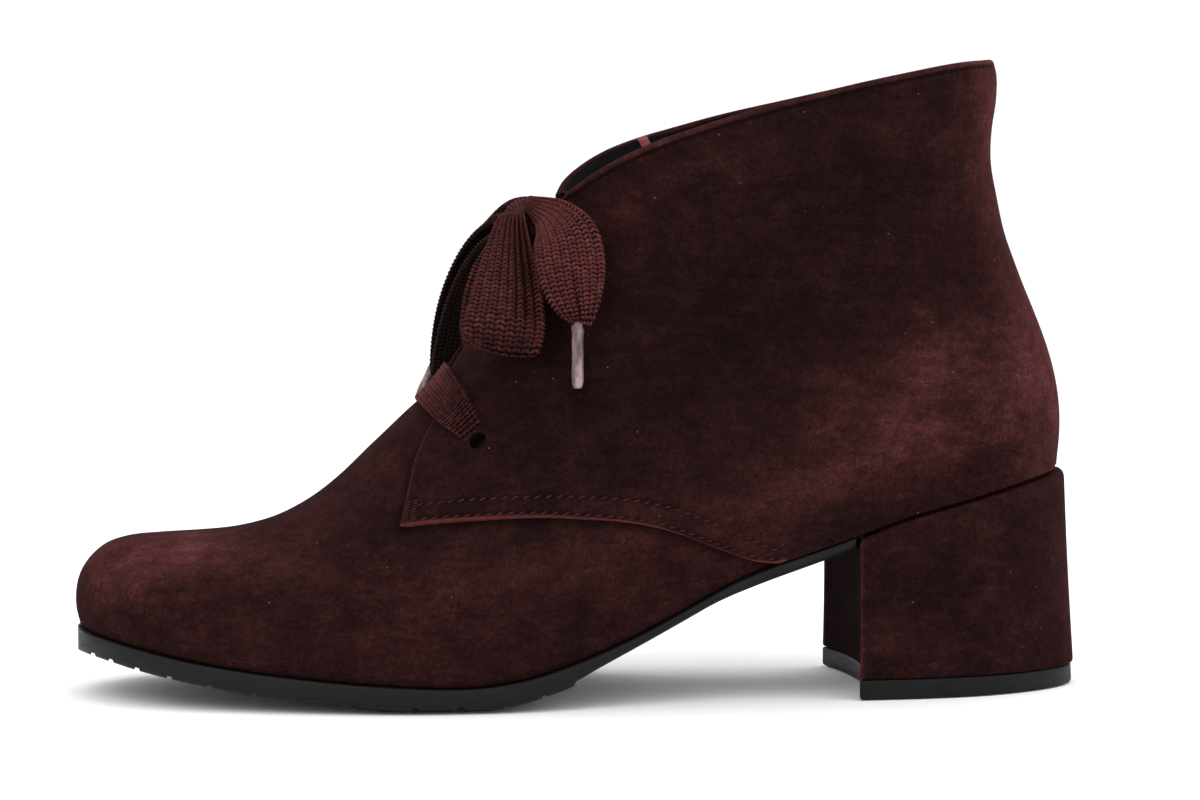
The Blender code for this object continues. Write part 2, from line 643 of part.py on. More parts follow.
span = WALL + 4 * CLEAR
xs = np.concatenate([
    toe_spaced(tip_x + span + 0.8, -100.0, 8), np.linspace(-100.0, 100.0, 22)[1:],
    (119.7 - span - 3.2) - toe_spaced(0.0, 16.0, 7)[::-1],
])
lat, med = edge_pair(xs)
rings = []
for i, x in enumerate(xs):
    ya, yb = inset_y(x, lat[i], span), inset_y(x, med[i], span)
    if i in (0, len(xs) - 1):
        ya, yb = float(axis_y(x)) - 1.0, float(axis_y(x)) + 1.0
    z0, z1 = feather_z(x), feather_z(x) + INSOLE_THICK
    mid = 0.5 * (ya + yb)
    rings.append([(x, ya, z0), (x, mid, z0), (x, yb, z0), (x, yb, z1), (x, mid, z1), (x, ya, z1)])
closed_sweep("insole", rings, "lining")


# ------------------------------------------------------------------ lace bars
def lace_bar(name, ridge_x, apart, wide_mid, wide_end, stop):
    """Flat run over both facings, from hole to hole."""
    s0 = front_at(ridge_x)
    ys = np.linspace(-apart + stop, apart - stop, 15)
    rings = []
    centre, normals = [], []
    for y in ys:
        side = "lat" if y < 0 else "med"
        rows = [on_ridge(side, s0 + ds, max(abs(y), 1e-4)) for ds in (-1.0, 0.0, 1.0)]
        centre.append(rows)
    centre = np.array(centre)
    du = np.gradient(centre[:, 1], axis=0)
    dv = centre[:, 2] - centre[:, 0]
    n = np.cross(dv, du)
    n /= np.linalg.norm(n, axis=1, keepdims=True)
    if n[7, 2] < 0:
        n = -n
    for i, y in enumerate(ys):
        u = abs(y) / apart
        half = 0.5 * (wide_mid + (wide_end - wide_mid) * u**2)
        a = on_ridge("lat" if y < 0 else "med", s0 - half, max(abs(y), 1e-4))
        b = on_ridge("lat" if y < 0 else "med", s0 + half, max(abs(y), 1e-4))
        c = centre[i, 1]
        low, high = 1.5 * CLEAR, 1.5 * CLEAR + LACE_THICK
        rings.append([a + n[i] * low, c + n[i] * low, b + n[i] * low, b + n[i] * high, c + n[i] * high, a + n[i] * high])
    return closed_sweep(name, rings, "lace")


lace_bar("lace_lower_bar", -36.2, 29.2, 12.0, 7.0, 0.5)
lace_bar("lace_upper_bar", -14.6, 24.0, 9.0, 7.0, 0.5)


# ------------------------------------------------------------------ bow
def strap(name, rows, thick):
    """Flat cord along a route; its width lies along X, leaning in height."""
    curve = dense(rows, 3.2)
    mid = curve[:, :3]
    tangent = np.gradient(mid, axis=0)
    tangent /= np.linalg.norm(tangent, axis=1, keepdims=True)
    wide = np.stack([np.ones(len(curve)), np.zeros(len(curve)), curve[:, 4]], axis=1)
    wide -= tangent * (wide * tangent).sum(axis=1, keepdims=True)
    wide /= np.linalg.norm(wide, axis=1, keepdims=True)
    n = np.cross(tangent, wide)
    rings = []
    for i, p in enumerate(mid):
        a, b = wide[i] * curve[i, 3] / 2, n[i] * thick / 2
        rings.append([p - a - b, p + a - b, p + a + b, p - a + b])
    return closed_sweep(name, rings, "lace")


def tip(name, rows):
    """Round tip along a short route."""
    mid = np.array(rows)
    rings = []
    for p in mid:
        rings.append([
            (p[0] + TIP_D / 2 * math.cos(a), p[1] + TIP_D / 2 * math.sin(a), p[2])
            for a in np.linspace(0, 2 * math.pi, 11)[:-1]
        ])
    return closed_sweep(name, rings, "tip")


strap("lace_loop_lateral", LOOP_LATERAL, CORD_THICK)
strap("lace_loop_medial", LOOP_MEDIAL, CORD_THICK)
strap("lace_end_lateral", END_LATERAL, CORD_THICK)
strap("lace_end_medial", END_MEDIAL, CORD_THICK)
tip("lace_tip_lateral", TIP_LATERAL)
tip("lace_tip_medial", TIP_MEDIAL)

rings = []
for v in np.linspace(-1.0, 1.0, 9):
    r = math.sqrt(max(1 - abs(v) ** 2.6, 0.06))
    ring = []
    for a in np.linspace(0, 2 * math.pi, 13)[:-1]:
        c, s = math.cos(a), math.sin(a)
        ring.append((
            KNOT_CENTRE[0] + KNOT_HALF[0] * r * c,
            CENTRE_Y + KNOT_CENTRE[1] + KNOT_HALF[1] * v,
            KNOT_CENTRE[2] + KNOT_HALF[2] * r * s,
        ))
    rings.append(ring)
closed_sweep("lace_knot", rings, "lace")
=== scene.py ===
"""Looks of the left lace-up ankle boot: suede panels, seams, braided lace, lining, heel and sole.

Toe towards -X, heel towards +X, lateral side towards -Y, ground at z = 0.
Tables are in millimetres, in the frame of the CAD model before its centring in x.
"""
import math

import bmesh
import bpy
import numpy as np
from mathutils import Matrix, Vector


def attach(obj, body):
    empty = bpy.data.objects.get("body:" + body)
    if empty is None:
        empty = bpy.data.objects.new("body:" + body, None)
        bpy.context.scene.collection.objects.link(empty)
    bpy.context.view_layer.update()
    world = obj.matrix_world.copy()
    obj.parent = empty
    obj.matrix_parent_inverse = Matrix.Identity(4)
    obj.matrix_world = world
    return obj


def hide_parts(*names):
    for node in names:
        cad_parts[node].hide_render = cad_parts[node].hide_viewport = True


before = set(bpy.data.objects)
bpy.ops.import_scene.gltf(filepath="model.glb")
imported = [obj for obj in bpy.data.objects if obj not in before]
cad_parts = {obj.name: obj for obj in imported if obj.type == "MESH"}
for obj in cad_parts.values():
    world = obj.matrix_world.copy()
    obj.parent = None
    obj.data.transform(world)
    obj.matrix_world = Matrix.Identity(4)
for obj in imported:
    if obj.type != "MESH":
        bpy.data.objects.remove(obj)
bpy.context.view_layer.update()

MM = 0.001

# ------------------------------------------------------------------ sizes of the last
WALL = 2.0
CLEAR = 0.3
RISE = 24.0
ANKLE_LOW, ANKLE_HIGH = 62.0, 122.0
CENTRE_X, CENTRE_Y = -0.8, 1.95
SOLE_MARGIN = 0.7
TREAD_END = -4.0
BREAST_X, BREAST_HOLLOW = 65.8, 4.8
LIFT = 4.8
THROAT_BASE_X = -41.0

FRONT = [  # x, z
    (-121.4, 16.4), (-122.4, 20.4), (-122.5, 24.4), (-121.5, 29.0), (-119.0, 33.0),
    (-115.2, 36.2), (-110.0, 38.0), (-102.0, 38.9), (-92.0, 39.4), (-83.0, 40.2),
    (-75.0, 42.0), (-67.0, 45.6), (-58.5, 51.6), (-50.0, 59.7), (-42.0, 67.9),
    (-34.0, 76.8), (-26.0, 87.2), (-18.0, 98.8), (-10.8, 110.4), (-5.2, 120.6),
]
FEATHER = [  # x, z
    (-121.4, 16.4), (-116.0, 15.6), (-106.0, 13.8), (-94.0, 11.6), (-82.0, 9.8),
    (-68.0, 8.3), (-54.0, 7.1), (-42.0, 6.4), (-33.0, 6.1), (-25.0, 6.4),
    (-16.0, 7.7), (-6.0, 10.4), (4.0, 14.0), (14.0, 18.3), (24.0, 23.2),
    (34.0, 28.3), (44.0, 32.3), (54.0, 35.5), (66.0, 39.6), (78.0, 44.0),
    (92.0, 48.0), (106.0, 51.6), (114.0, 53.2), (119.7, 54.2),
]
BACK = [  # x, z
    (119.7, 54.2), (120.5, 62.0), (120.3, 71.0), (118.6, 80.5), (115.0, 91.0),
    (110.7, 101.8), (106.9, 112.2), (104.2, 121.5), (102.7, 130.0), (102.9, 137.5),
    (103.9, 144.5), (103.9, 150.6), (103.0, 154.6),
]
TOPLINE = [  # x, z, drop on the medial side
    (103.0, 154.6, 0.0), (94.0, 153.7, 0.8), (74.4, 150.2, 1.6), (55.3, 145.9, 1.5), (40.9, 142.3, 1.1),
    (26.6, 138.0, 0.6), (17.1, 134.9, 0.2), (9.0, 131.6, 0.0), (2.9, 128.2, 0.0), (-1.6, 124.8, 0.0), (-5.2, 120.6, 0.0),
]
BODY = [  # x, lateral at feather, lateral at mid, medial at feather, medial at mid, axis y
    (-122.5, 26.5, 27.5, 25.5, 26.5, 5.0),
    (-104.0, 31.0, 32.0, 29.0, 30.0, 4.4),
    (-88.0, 35.0, 36.3, 33.0, 34.2, 3.2),
    (-70.0, 38.6, 40.2, 36.6, 38.4, 1.8),
    (-52.0, 40.6, 42.2, 38.0, 40.2, 0.4),
    (-34.0, 40.9, 42.8, 37.4, 40.2, -0.7),
    (-16.0, 39.2, 42.0, 34.2, 38.8, -1.3),
    (4.0, 34.9, 39.6, 29.6, 36.4, -1.4),
    (24.0, 30.4, 36.6, 25.4, 33.6, -1.1),
    (44.0, 27.6, 33.8, 23.8, 31.6, -0.6),
    (64.0, 27.0, 31.6, 25.2, 30.4, -0.2),
    (84.0, 27.6, 30.2, 27.2, 29.8, 0.0),
    (104.0, 27.8, 29.8, 27.8, 29.8, 0.0),
    (120.0, 27.8, 29.8, 27.8, 29.8, 0.0),
]
SHAFT = [  # z, lateral, medial, back rounding
    (54.0, 30.0, 30.0, 29.0), (76.0, 29.8, 29.6, 30.0), (96.0, 29.2, 28.8, 34.0),
    (116.0, 29.6, 29.0, 37.0), (136.0, 31.0, 30.4, 36.0), (155.0, 32.2, 31.6, 34.0),
]
CROWN = [  # length along the front outline, depth, squareness
    (0.0, 33.0, 2.25), (18.0, 29.0, 2.2), (32.0, 25.0, 2.1), (52.0, 26.0, 2.05),
    (70.0, 32.0, 2.0), (90.0, 44.0, 2.0), (112.0, 54.0, 2.0), (140.0, 54.0, 2.0), (205.0, 52.0, 2.0),
]
FAN = [  # length along the lower outline, length along the front outline
    (0.0, 0.0), (2.5, 5.0), (7.0, 12.5), (14.0, 21.0), (24.0, 31.0), (40.0, 46.0),
    (60.0, 64.0), (80.0, 82.0), (100.0, 98.0), (116.0, 108.6), (130.0, 115.0), (148.0, 121.0),
    (176.0, 130.0), (206.0, 139.0), (232.0, 146.6), (250.0, 151.4), (275.0, 157.2), (300.0, 162.4),
    (325.0, 166.9), (353.1, 170.9),
]
THROAT = [  # length past the throat base, half gap
    (0.0, 0.0), (1.5, 2.4), (4.0, 3.8), (8.0, 4.6), (16.0, 5.0), (40.0, 5.6), (80.0, 6.6),
]
EYELETS = {  # x of the ridge point opposite, half distance apart
    "lower": (-37.0, 29.2),
    "upper": (-13.5, 24.0),
}
EYELET_D = 5.0
UNDERSIDE = [  # x, z
    (-121.8, 10.4), (-114.0, 9.2), (-106.0, 7.6), (-96.0, 5.8), (-86.0, 4.2), (-76.0, 2.9),
    (-66.0, 1.8), (-56.0, 0.8), (-47.0, 0.0), (-40.0, 0.0), (-30.0, 0.0), (-23.0, 0.0),
    (-16.0, 1.1), (-10.0, 2.8), (-4.0, 4.8), (2.0, 7.9), (8.0, 11.1), (14.0, 14.3),
    (22.0, 18.6), (32.0, 23.7), (42.0, 27.5), (52.0, 30.9), (66.0, 35.7),
]
HEEL_PLAN = [  # share of the way from breast corner to back, seat half-width, ground half-width
    (0.0, 28.8, 29.6), (0.2, 29.1, 28.8), (0.4, 28.8, 27.2), (0.6, 26.6, 23.8), (0.75, 22.6, 19.4),
    (0.87, 16.8, 14.2), (0.95, 10.5, 8.9), (0.985, 5.7, 4.9), (1.0, 0.0, 0.0),
]
HEEL_BACK_SEAT, HEEL_BACK_GROUND = 121.4, 124.1

# routes of the bow, as in the CAD model
LOOP_LATERAL = [  # x, y, z, width, lean of the width
    (-15.9, -7.6, 115.6, 5.2, 0.0), (-16.5, -11.6, 115.8, 6.0, 0.0), (-17.4, -16.8, 113.8, 8.0, 0.0),
    (-18.1, -22.0, 109.4, 10.8, 0.0), (-18.7, -26.4, 103.3, 14.4, 0.0), (-19.3, -29.8, 96.2, 17.8, -0.08),
    (-20.1, -31.6, 89.8, 19.4, -0.20), (-20.6, -30.2, 85.6, 17.8, -0.26), (-20.9, -27.6, 88.6, 18.8, -0.18),
    (-20.9, -24.4, 95.6, 17.2, -0.06), (-20.4, -20.0, 102.2, 13.6, 0.0), (-19.2, -14.8, 107.2, 9.6, 0.0),
    (-17.6, -8.6, 110.6, 7.0, 0.0),
]
LOOP_MEDIAL = [  # x, y, z, width, lean of the width
    (-15.0, 11.6, 114.8, 6.4, 0.0), (-15.8, 15.2, 115.0, 7.2, 0.0), (-17.2, 20.4, 112.6, 9.0, 0.0),
    (-19.8, 24.8, 107.4, 12.4, 0.0), (-22.0, 28.2, 100.8, 15.2, 0.0), (-23.4, 31.0, 93.4, 17.6, 0.0),
    (-24.6, 33.2, 85.0, 18.4, 0.0), (-25.2, 34.0, 78.0, 18.2, 0.0), (-25.2, 32.2, 74.4, 18.0, 0.0),
    (-24.8, 30.0, 78.4, 18.0, 0.0), (-23.8, 27.6, 86.4, 17.2, 0.0), (-22.4, 24.4, 95.0, 15.0, 0.0),
    (-20.8, 20.4, 102.2, 12.0, 0.0), (-19.0, 15.8, 107.4, 9.0, 0.0), (-17.2, 12.0, 110.0, 7.0, 0.0),
]
END_LATERAL = [  # x, y, z, width, lean of the width
    (-11.2, -7.4, 118.8, 5.0, 3.0), (-9.6, -12.4, 117.8, 8.4, 1.9), (-7.0, -20.0, 115.8, 12.6, 0.85),
    (-4.9, -27.6, 111.2, 16.4, 0.3), (-4.2, -30.8, 105.4, 16.6, 0.08), (-3.5, -32.8, 99.6, 14.4, 0.0),
    (-2.7, -33.7, 95.2, 10.6, 0.0), (-2.3, -34.1, 92.2, 6.6, 0.0), (-2.6, -34.3, 90.6, 3.4, 0.0),
]
END_MEDIAL = [  # x, y, z, width, lean of the width
    (-10.2, 11.6, 118.4, 6.0, 0.0), (-11.0, 16.0, 118.9, 8.0, 0.0), (-12.6, 21.8, 117.0, 11.0, 0.0),
    (-14.4, 27.8, 112.0, 14.4, 0.0), (-17.4, 32.8, 105.6, 16.6, 0.0), (-19.8, 36.2, 98.6, 16.8, 0.0),
    (-23.2, 37.8, 91.0, 14.0, 0.0), (-27.6, 38.4, 85.0, 9.0, 0.0), (-30.8, 38.8, 81.2, 4.6, 0.0),
]
TIP_LATERAL = [  # x, y, z
    (-2.8, -34.4, 90.0), (-2.9, -35.0, 83.0), (-3.0, -35.7, 76.4),
]
TIP_MEDIAL = [  # x, y, z
    (-31.4, 38.9, 80.2), (-34.2, 39.3, 74.4), (-36.8, 39.8, 68.4),
]
KNOT_CENTRE = (-12.4, 1.95, 115.6)
KNOT_HALF = (5.4, 7.6, 4.6)

# ------------------------------------------------------------------ panels and seams
FRONT_EDGE = [  # front edge of the quarter from its lower corner, x, z
    (-44.7, 43.4), (-43.7, 47.3), (-42.3, 52.5), (-40.4, 59.0), (-38.6, 63.0),
    (-36.6, 66.7), (-34.2, 71.7), (-32.1, 76.5), (-30.2, 80.2), (-28.6, 82.8),
]
FACING_FROM_X = -27.2   # ridge point from which the facings run beside the throat
LOWER_SEAM = [  # lower edge of the quarter from its front corner to the sole, x, z
    (-44.7, 43.4), (-37.8, 44.5), (-30.8, 45.2), (-23.8, 45.7), (-16.8, 46.1), (-9.8, 46.2),
    (-2.7, 45.8), (3.2, 45.4), (9.2, 44.7), (15.2, 43.5), (21.4, 41.6), (27.7, 39.0), (34.2, 36.3),
    (40.5, 33.9), (46.4, 33.05),
]
SECOND_ROW = [  # upper stitch row of the quarter's lower seam, x, z
    (-41.1, 48.3), (-30.7, 49.8), (-16.7, 50.8), (-2.7, 51.0), (6.8, 50.4), (16.4, 48.8),
    (26.2, 45.4), (36.4, 40.9), (45.4, 36.6),
]
QUARTER_FAN = [  # length along the lower border, length along the upper border
    (0.0, 0.0), (10.0, 9.0), (25.0, 19.0), (50.0, 30.0), (80.0, 40.0), (95.0, 44.0), (130.0, 53.0),
    (172.0, 63.0), (200.0, 70.0), (230.0, 77.0), (276.0, 88.0),
]


# ------------------------------------------------------------------ curves
def dense(rows, step=0.5):
    """Smooth curve through the rows, sampled about every `step`."""
    p = np.array(rows, float)
    seg = np.maximum(np.linalg.norm(np.diff(p, axis=0), axis=1), 1e-9)
    slope = np.diff(p, axis=0) / seg[:, None]
    tan = np.empty_like(p)
    tan[0], tan[-1] = slope[0], slope[-1]
    a, b = seg[:-1, None], seg[1:, None]
    tan[1:-1] = (slope[:-1] * b + slope[1:] * a) / (a + b)
    out = [p[:1]]
    for i, length in enumerate(seg):
        n = max(2, int(math.ceil(length / step)))
        u = (np.arange(1, n + 1) / n)[:, None]
        h00, h10 = 2 * u**3 - 3 * u**2 + 1, u**3 - 2 * u**2 + u
        h01, h11 = -2 * u**3 + 3 * u**2, u**3 - u**2
        out.append(h00 * p[i] + h10 * length * tan[i] + h01 * p[i + 1] + h11 * length * tan[i + 1])
    return np.vstack(out)


def run_length(curve):
    return np.concatenate([[0.0], np.cumsum(np.linalg.norm(np.diff(curve, axis=0), axis=1))])


def along(curve, length, s):
    s = np.asarray(s, float)
    return np.stack([np.interp(s, length, curve[:, i]) for i in range(curve.shape[1])], axis=-1)


def column(rows, key, value, step=0.5):
    p = dense([(r[key], r[value]) for r in rows], step)
    return lambda q: np.interp(q, p[:, 0], p[:, 1])


def ease(u):
    u = np.clip(u, 0.0, 1.0)
    return u * u * (3.0 - 2.0 * u)


def dome(u, power):
    u = np.clip(u, 0.0, 1.0)
    return np.maximum(1.0 - (1.0 - u) ** power, 0.0) ** (1.0 / power)


def unit(v):
    return v / np.maximum(np.linalg.norm(v, axis=-1, keepdims=True), 1e-12)


# ------------------------------------------------------------------ last
front = dense(FRONT)
front_s = run_length(front)
feather = dense(FEATHER)
back = dense(BACK)
topline_rows = dense(TOPLINE)
topline = topline_rows[:, :2]
topline_s = run_length(topline)
medial_drop = topline_rows[:, 2]
lower = np.vstack([feather, back[1:]])
lower_s = run_length(lower)
FEATHER_END = run_length(feather)[-1]
LOWER_END, FRONT_END = lower_s[-1], front_s[-1]

body = {key: column(BODY, 0, i + 1) for i, key in enumerate(("lat_f", "lat_m", "med_f", "med_m", "axis"))}
shaft = {key: column(SHAFT, 0, i + 1) for i, key in enumerate(("lat", "med", "back"))}
crown_depth, crown_power = column(CROWN, 0, 1), column(CROWN, 0, 2)
throat_gap = column(THROAT, 0, 1)
fan_rows = dense(FAN, 0.5)


def feather_z(x):
    return np.interp(x, feather[:, 0], feather[:, 1])


def nearest(curve, length, x, z):
    """Distance of points from a curve and the length along it of the nearest point."""
    shape = np.shape(x)
    q = np.stack([np.ravel(x), np.ravel(z)], axis=1)
    best, where = np.full(len(q), 1e9), np.zeros(len(q))
    for lo in range(0, len(q), 4000):
        part = q[lo:lo + 4000]
        d2 = ((part**2).sum(1)[:, None] - 2 * part @ curve.T + (curve**2).sum(1)[None])
        i = d2.argmin(axis=1)
        for k in (np.maximum(i - 1, 0), np.minimum(i, len(curve) - 2)):
            a, d = curve[k], curve[k + 1] - curve[k]
            u = np.clip(((part - a) * d).sum(axis=1) / (d * d).sum(axis=1), 0.0, 1.0)
            dist = np.linalg.norm(part - a - d * u[:, None], axis=1)
            better = dist < best[lo:lo + 4000]
            best[lo:lo + 4000] = np.where(better, dist, best[lo:lo + 4000])
            where[lo:lo + 4000] = np.where(better, length[k] + u * (length[k + 1] - length[k]), where[lo:lo + 4000])
    return best.reshape(shape), where.reshape(shape)


back_line = np.vstack([[(118.6, 40.0)], back])   # back seam, carried on below the heel seat
back_s = run_length(back_line)


def half_width(side, x, z):
    """Half-width of the last's outside at points of the side view."""
    x, z = np.asarray(x, float), np.asarray(z, float)
    low = body[side + "_f"](x)
    mid = body[side + "_m"](x)
    w = low + (mid - low) * ease((z - feather_z(x)) / RISE)
    w = w + (shaft[side](z) - w) * ease((z - ANKLE_LOW) / (ANKLE_HIGH - ANKLE_LOW)) * ease((x + 45.0) / 45.0)
    d, s = nearest(front, front_s, x, z)
    w = w * dome(d / crown_depth(s), crown_power(s))
    d, _ = nearest(back_line, back_s, x, z)
    return w * dome(d / shaft["back"](z), 2.0)


def axis_y(x):
    return body["axis"](x) + CENTRE_Y


def sign_of(side):
    return -1.0 if side == "lat" else 1.0


def place(side, x, z, w):
    return np.stack([x, axis_y(x) + sign_of(side) * w, z], axis=-1)


def front_at(x):
    ridge = front[:, 1] > 39.0
    return float(np.interp(x, front[ridge, 0], front_s[ridge]))


def ridge_tangent(s):
    a, b = along(front, front_s, s - 0.5), along(front, front_s, s + 0.5)
    return (b - a) / np.linalg.norm(b - a)


def on_ridge(side, s, y):
    """Point of the outside, below the ridge point at s, that is y off the axis."""
    p, t = along(front, front_s, s), ridge_tangent(s)
    n = np.array([t[1], -t[0]])
    m = np.concatenate([np.linspace(0, 1, 60) ** 2 * 8.0, np.linspace(8.0, 45.0, 140)[1:]])
    q = p + n * m[:, None]
    w = half_width(side, q[:, 0], q[:, 1])
    w[0] = 0.0
    depth = float(np.interp(y, np.maximum.accumulate(w), m))
    q = p + n * depth
    return place(side, q[0], q[1], y)


def outward(side, x, z):
    e = 0.3
    w = half_width(side, np.array([x + e, x - e, x, x]), np.array([z, z, z + e, z - e]))
    slope = float(axis_y(x + e) - axis_y(x - e)) / (2 * e)
    k = sign_of(side)
    n = np.array([-(w[0] - w[1]) / (2 * e) - k * slope, k, -(w[2] - w[3]) / (2 * e)])
    return n / np.linalg.norm(n)


THROAT_BASE = front_at(THROAT_BASE_X)


def fan_front(b):
    return np.minimum(np.interp(b, fan_rows[:, 0], fan_rows[:, 1]), FRONT_END)


LATERAL_DROP = [  # x, how far the near topline dips at the front
    (-5.2, 0.0), (-3.5, 1.2), (-1.0, 1.7), (3.0, 1.5), (9.0, 1.1), (17.0, 0.5), (27.0, 0.15), (41.0, 0.0), (110.0, 0.0),
]
lateral_drop = column(LATERAL_DROP, 0, 1)


def topline_path(side, h, drop=0.0):
    line = along(topline, topline_s, h * topline_s[-1])
    if side == "med":
        line[:, 1] -= np.interp(h * topline_s[-1], topline_s, medial_drop)
    else:
        line[:, 1] -= lateral_drop(line[:, 0])
    line[:, 1] -= drop
    return line


SPREAD = 0.5 * (1.0 - np.cos(np.linspace(0.0, math.pi, 481)))   # close samples at both ends of a section


def section(side, base, top, lift=0.0, drop=0.0, reach=1.0):
    """Side-view path of one section between two borders, drawn to the topline by `lift`."""
    h = SPREAD
    path = base + (top - base) * h[:, None]
    if lift > 0.0:
        line = topline_path(side, h * reach, drop)
        chord = line[0] + (line[-1] - line[0]) * h[:, None]
        path = path + (line - chord) * lift
    return path


# ------------------------------------------------------------------ mesh helpers
def grid_faces(rows, cols, start=0, flip=False, close=False):
    i, j = np.meshgrid(np.arange(rows - 1), np.arange(cols if close else cols - 1), indexing="ij")
    k = (j + 1) % cols
    f = np.stack([i * cols + j, (i + 1) * cols + j, (i + 1) * cols + k, i * cols + k], axis=-1).reshape(-1, 4) + start
    return f[:, ::-1] if flip else f


def weld(v, faces, tol=2e-3):
    key = np.round(np.asarray(v) / tol).astype(np.int64)
    _, first, inverse = np.unique(key, axis=0, return_index=True, return_inverse=True)
    inverse = np.ravel(inverse)
    out = []
    for f in faces:
        g = list(dict.fromkeys(int(inverse[i]) for i in f))
        if len(g) >= 3:
            out.append(g)
    return v[first], out, first


MATERIALS = {}
PIECES = {}


def add_piece(name, verts, faces, mat, nodes=(), values=None, smooth=True, welded=True):
    """Mesh object in the frame of the CAD model, riding on the boot."""
    v = np.asarray(verts, float).reshape(-1, 3)
    if welded:
        v, faces, first = weld(v, faces)
        values = {k: np.ravel(a)[first] for k, a in (values or {}).items()}
    me = bpy.data.meshes.new(name)
    w = v.copy()
    w[:, 0] += CENTRE_X
    me.from_pydata((w * MM).tolist(), [], [[int(i) for i in f] for f in faces])
    me.polygons.foreach_set("use_smooth", [smooth] * len(me.polygons))
    for key, a in (values or {}).items():
        layer = me.attributes.new(key, "FLOAT", "POINT")
        layer.data.foreach_set("value", np.ravel(a).astype(np.float32))
    me.update()
    ob = bpy.data.objects.new(name, me)
    bpy.context.scene.collection.objects.link(ob)
    me.materials.append(MATERIALS[mat])
    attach(ob, "root")
    if nodes:
        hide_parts(*nodes)
    PIECES[name] = ob
    return ob


def grid_normals(p, side):
    n = np.cross(np.gradient(p, axis=0), np.gradient(p, axis=1))
    size = np.linalg.norm(n, axis=2, keepdims=True)
    n = n / np.maximum(size, 1e-12)
    if np.sum(n[..., 1]) * sign_of(side) < 0:
        n = -n
    return n


def spaced(total, start, end, count):
    """Distances along a section: close steps at the start and the end, even between."""
    start, end = np.array(start, float), np.array(end, float)
    room = start[-1] + end[-1]
    if total < 1.6 * room:
        scale = total / (1.6 * room)
        start, end = start * scale, end * scale
    mid = np.linspace(start[-1], total - end[-1], count + 2)[1:-1]
    return np.concatenate([start, mid, total - end[::-1]])


# ------------------------------------------------------------------ soft form of the panels
# creases and soft swells in the suede: troughs are negative
CREASES = [  # side, x0, z0, x1, z1, half-breadth, height
    ("lat", 99.0, 127.0, 90.0, 119.0, 3.4, -0.55), ("lat", 99.5, 133.0, 86.0, 126.0, 4.5, 0.35),
    ("lat", 96.0, 112.0, 82.0, 108.0, 5.0, 0.30), ("lat", 88.0, 118.0, 72.0, 120.0, 5.5, -0.22),
    ("lat", -30.0, 58.0, -14.0, 60.0, 5.0, 0.22), ("lat", -8.0, 84.0, 6.0, 74.0, 6.0, -0.25),
    ("lat", 4.0, 98.0, 18.0, 88.0, 6.5, 0.25), ("lat", 30.0, 60.0, 44.0, 50.0, 6.0, -0.20),
    ("lat", -66.0, 30.0, -58.0, 22.0, 5.0, -0.22), ("lat", -58.0, 34.0, -50.0, 24.0, 5.0, 0.20),
    ("lat", 58.0, 112.0, 52.0, 96.0, 7.5, 0.25), ("lat", 40.0, 120.0, 34.0, 100.0, 7.5, -0.22),
    ("med", 99.0, 126.0, 90.0, 120.0, 3.6, -0.45), ("med", 97.0, 132.0, 86.0, 127.0, 4.5, 0.30),
    ("med", -8.0, 84.0, 6.0, 76.0, 6.0, -0.25), ("med", 30.0, 60.0, 44.0, 52.0, 6.0, -0.20),
    ("med", -66.0, 30.0, -58.0, 22.0, 5.0, -0.22), ("med", 50.0, 112.0, 46.0, 96.0, 7.5, 0.25),
]
# slow waves of the leather: wavelength, direction in degrees, start, height
WAVES = [
    (31.0, 20.0, 0.3, 0.07), (23.0, 75.0, 1.7, 0.06), (17.0, 130.0, 2.9, 0.045), (11.0, 50.0, 4.1, 0.025), (8.0, 160.0, 0.9, 0.018),
]


def swell(side, x, z):
    h = np.zeros(np.shape(x))
    for row_side, x0, z0, x1, z1, breadth, height in CREASES:
        if row_side != side:
            continue
        ax, az = x1 - x0, z1 - z0
        u = np.clip(((x - x0) * ax + (z - z0) * az) / (ax * ax + az * az), -0.3, 1.3)
        d = np.hypot(x - x0 - u * ax, z - z0 - u * az)
        fade = ease((u + 0.3) / 0.5) * ease((1.3 - u) / 0.5)
        h += height * fade * np.exp(-((d / breadth) ** 2))
    shift = 0.0 if side == "lat" else 2.0
    for wave, turn, start, height in WAVES:
        c, s = math.cos(math.radians(turn)), math.sin(math.radians(turn))
        h += height * np.sin(2 * math.pi * (x * c + z * s) / wave + start + shift)
    return h


# the back is drawn in and the instep filled a little, as the leather lies
BACK_IN = [  # z, amount
    (40.0, 0.9), (58.0, 1.0), (72.0, 1.15), (86.0, 1.45), (104.0, 1.6), (111.0, 1.7), (119.0, 1.15), (130.0, 0.95), (156.0, 0.9),
]
BACK_IN_REACH = 20.0
INSTEP_FILL = [  # x, amount
    (-130.0, 0.0), (-82.0, 0.0), (-72.0, 0.35), (-60.0, 0.55), (-48.0, 0.6), (-42.0, 0.3), (-38.0, 0.0), (0.0, 0.0),
]
back_in_at, instep_at = column(BACK_IN, 0, 1), column(INSTEP_FILL, 0, 1)


def drawn_in(x, z):
    d, _ = nearest(back_line, back_s, x, z)
    return back_in_at(z) * np.exp(-((d / BACK_IN_REACH) ** 2))


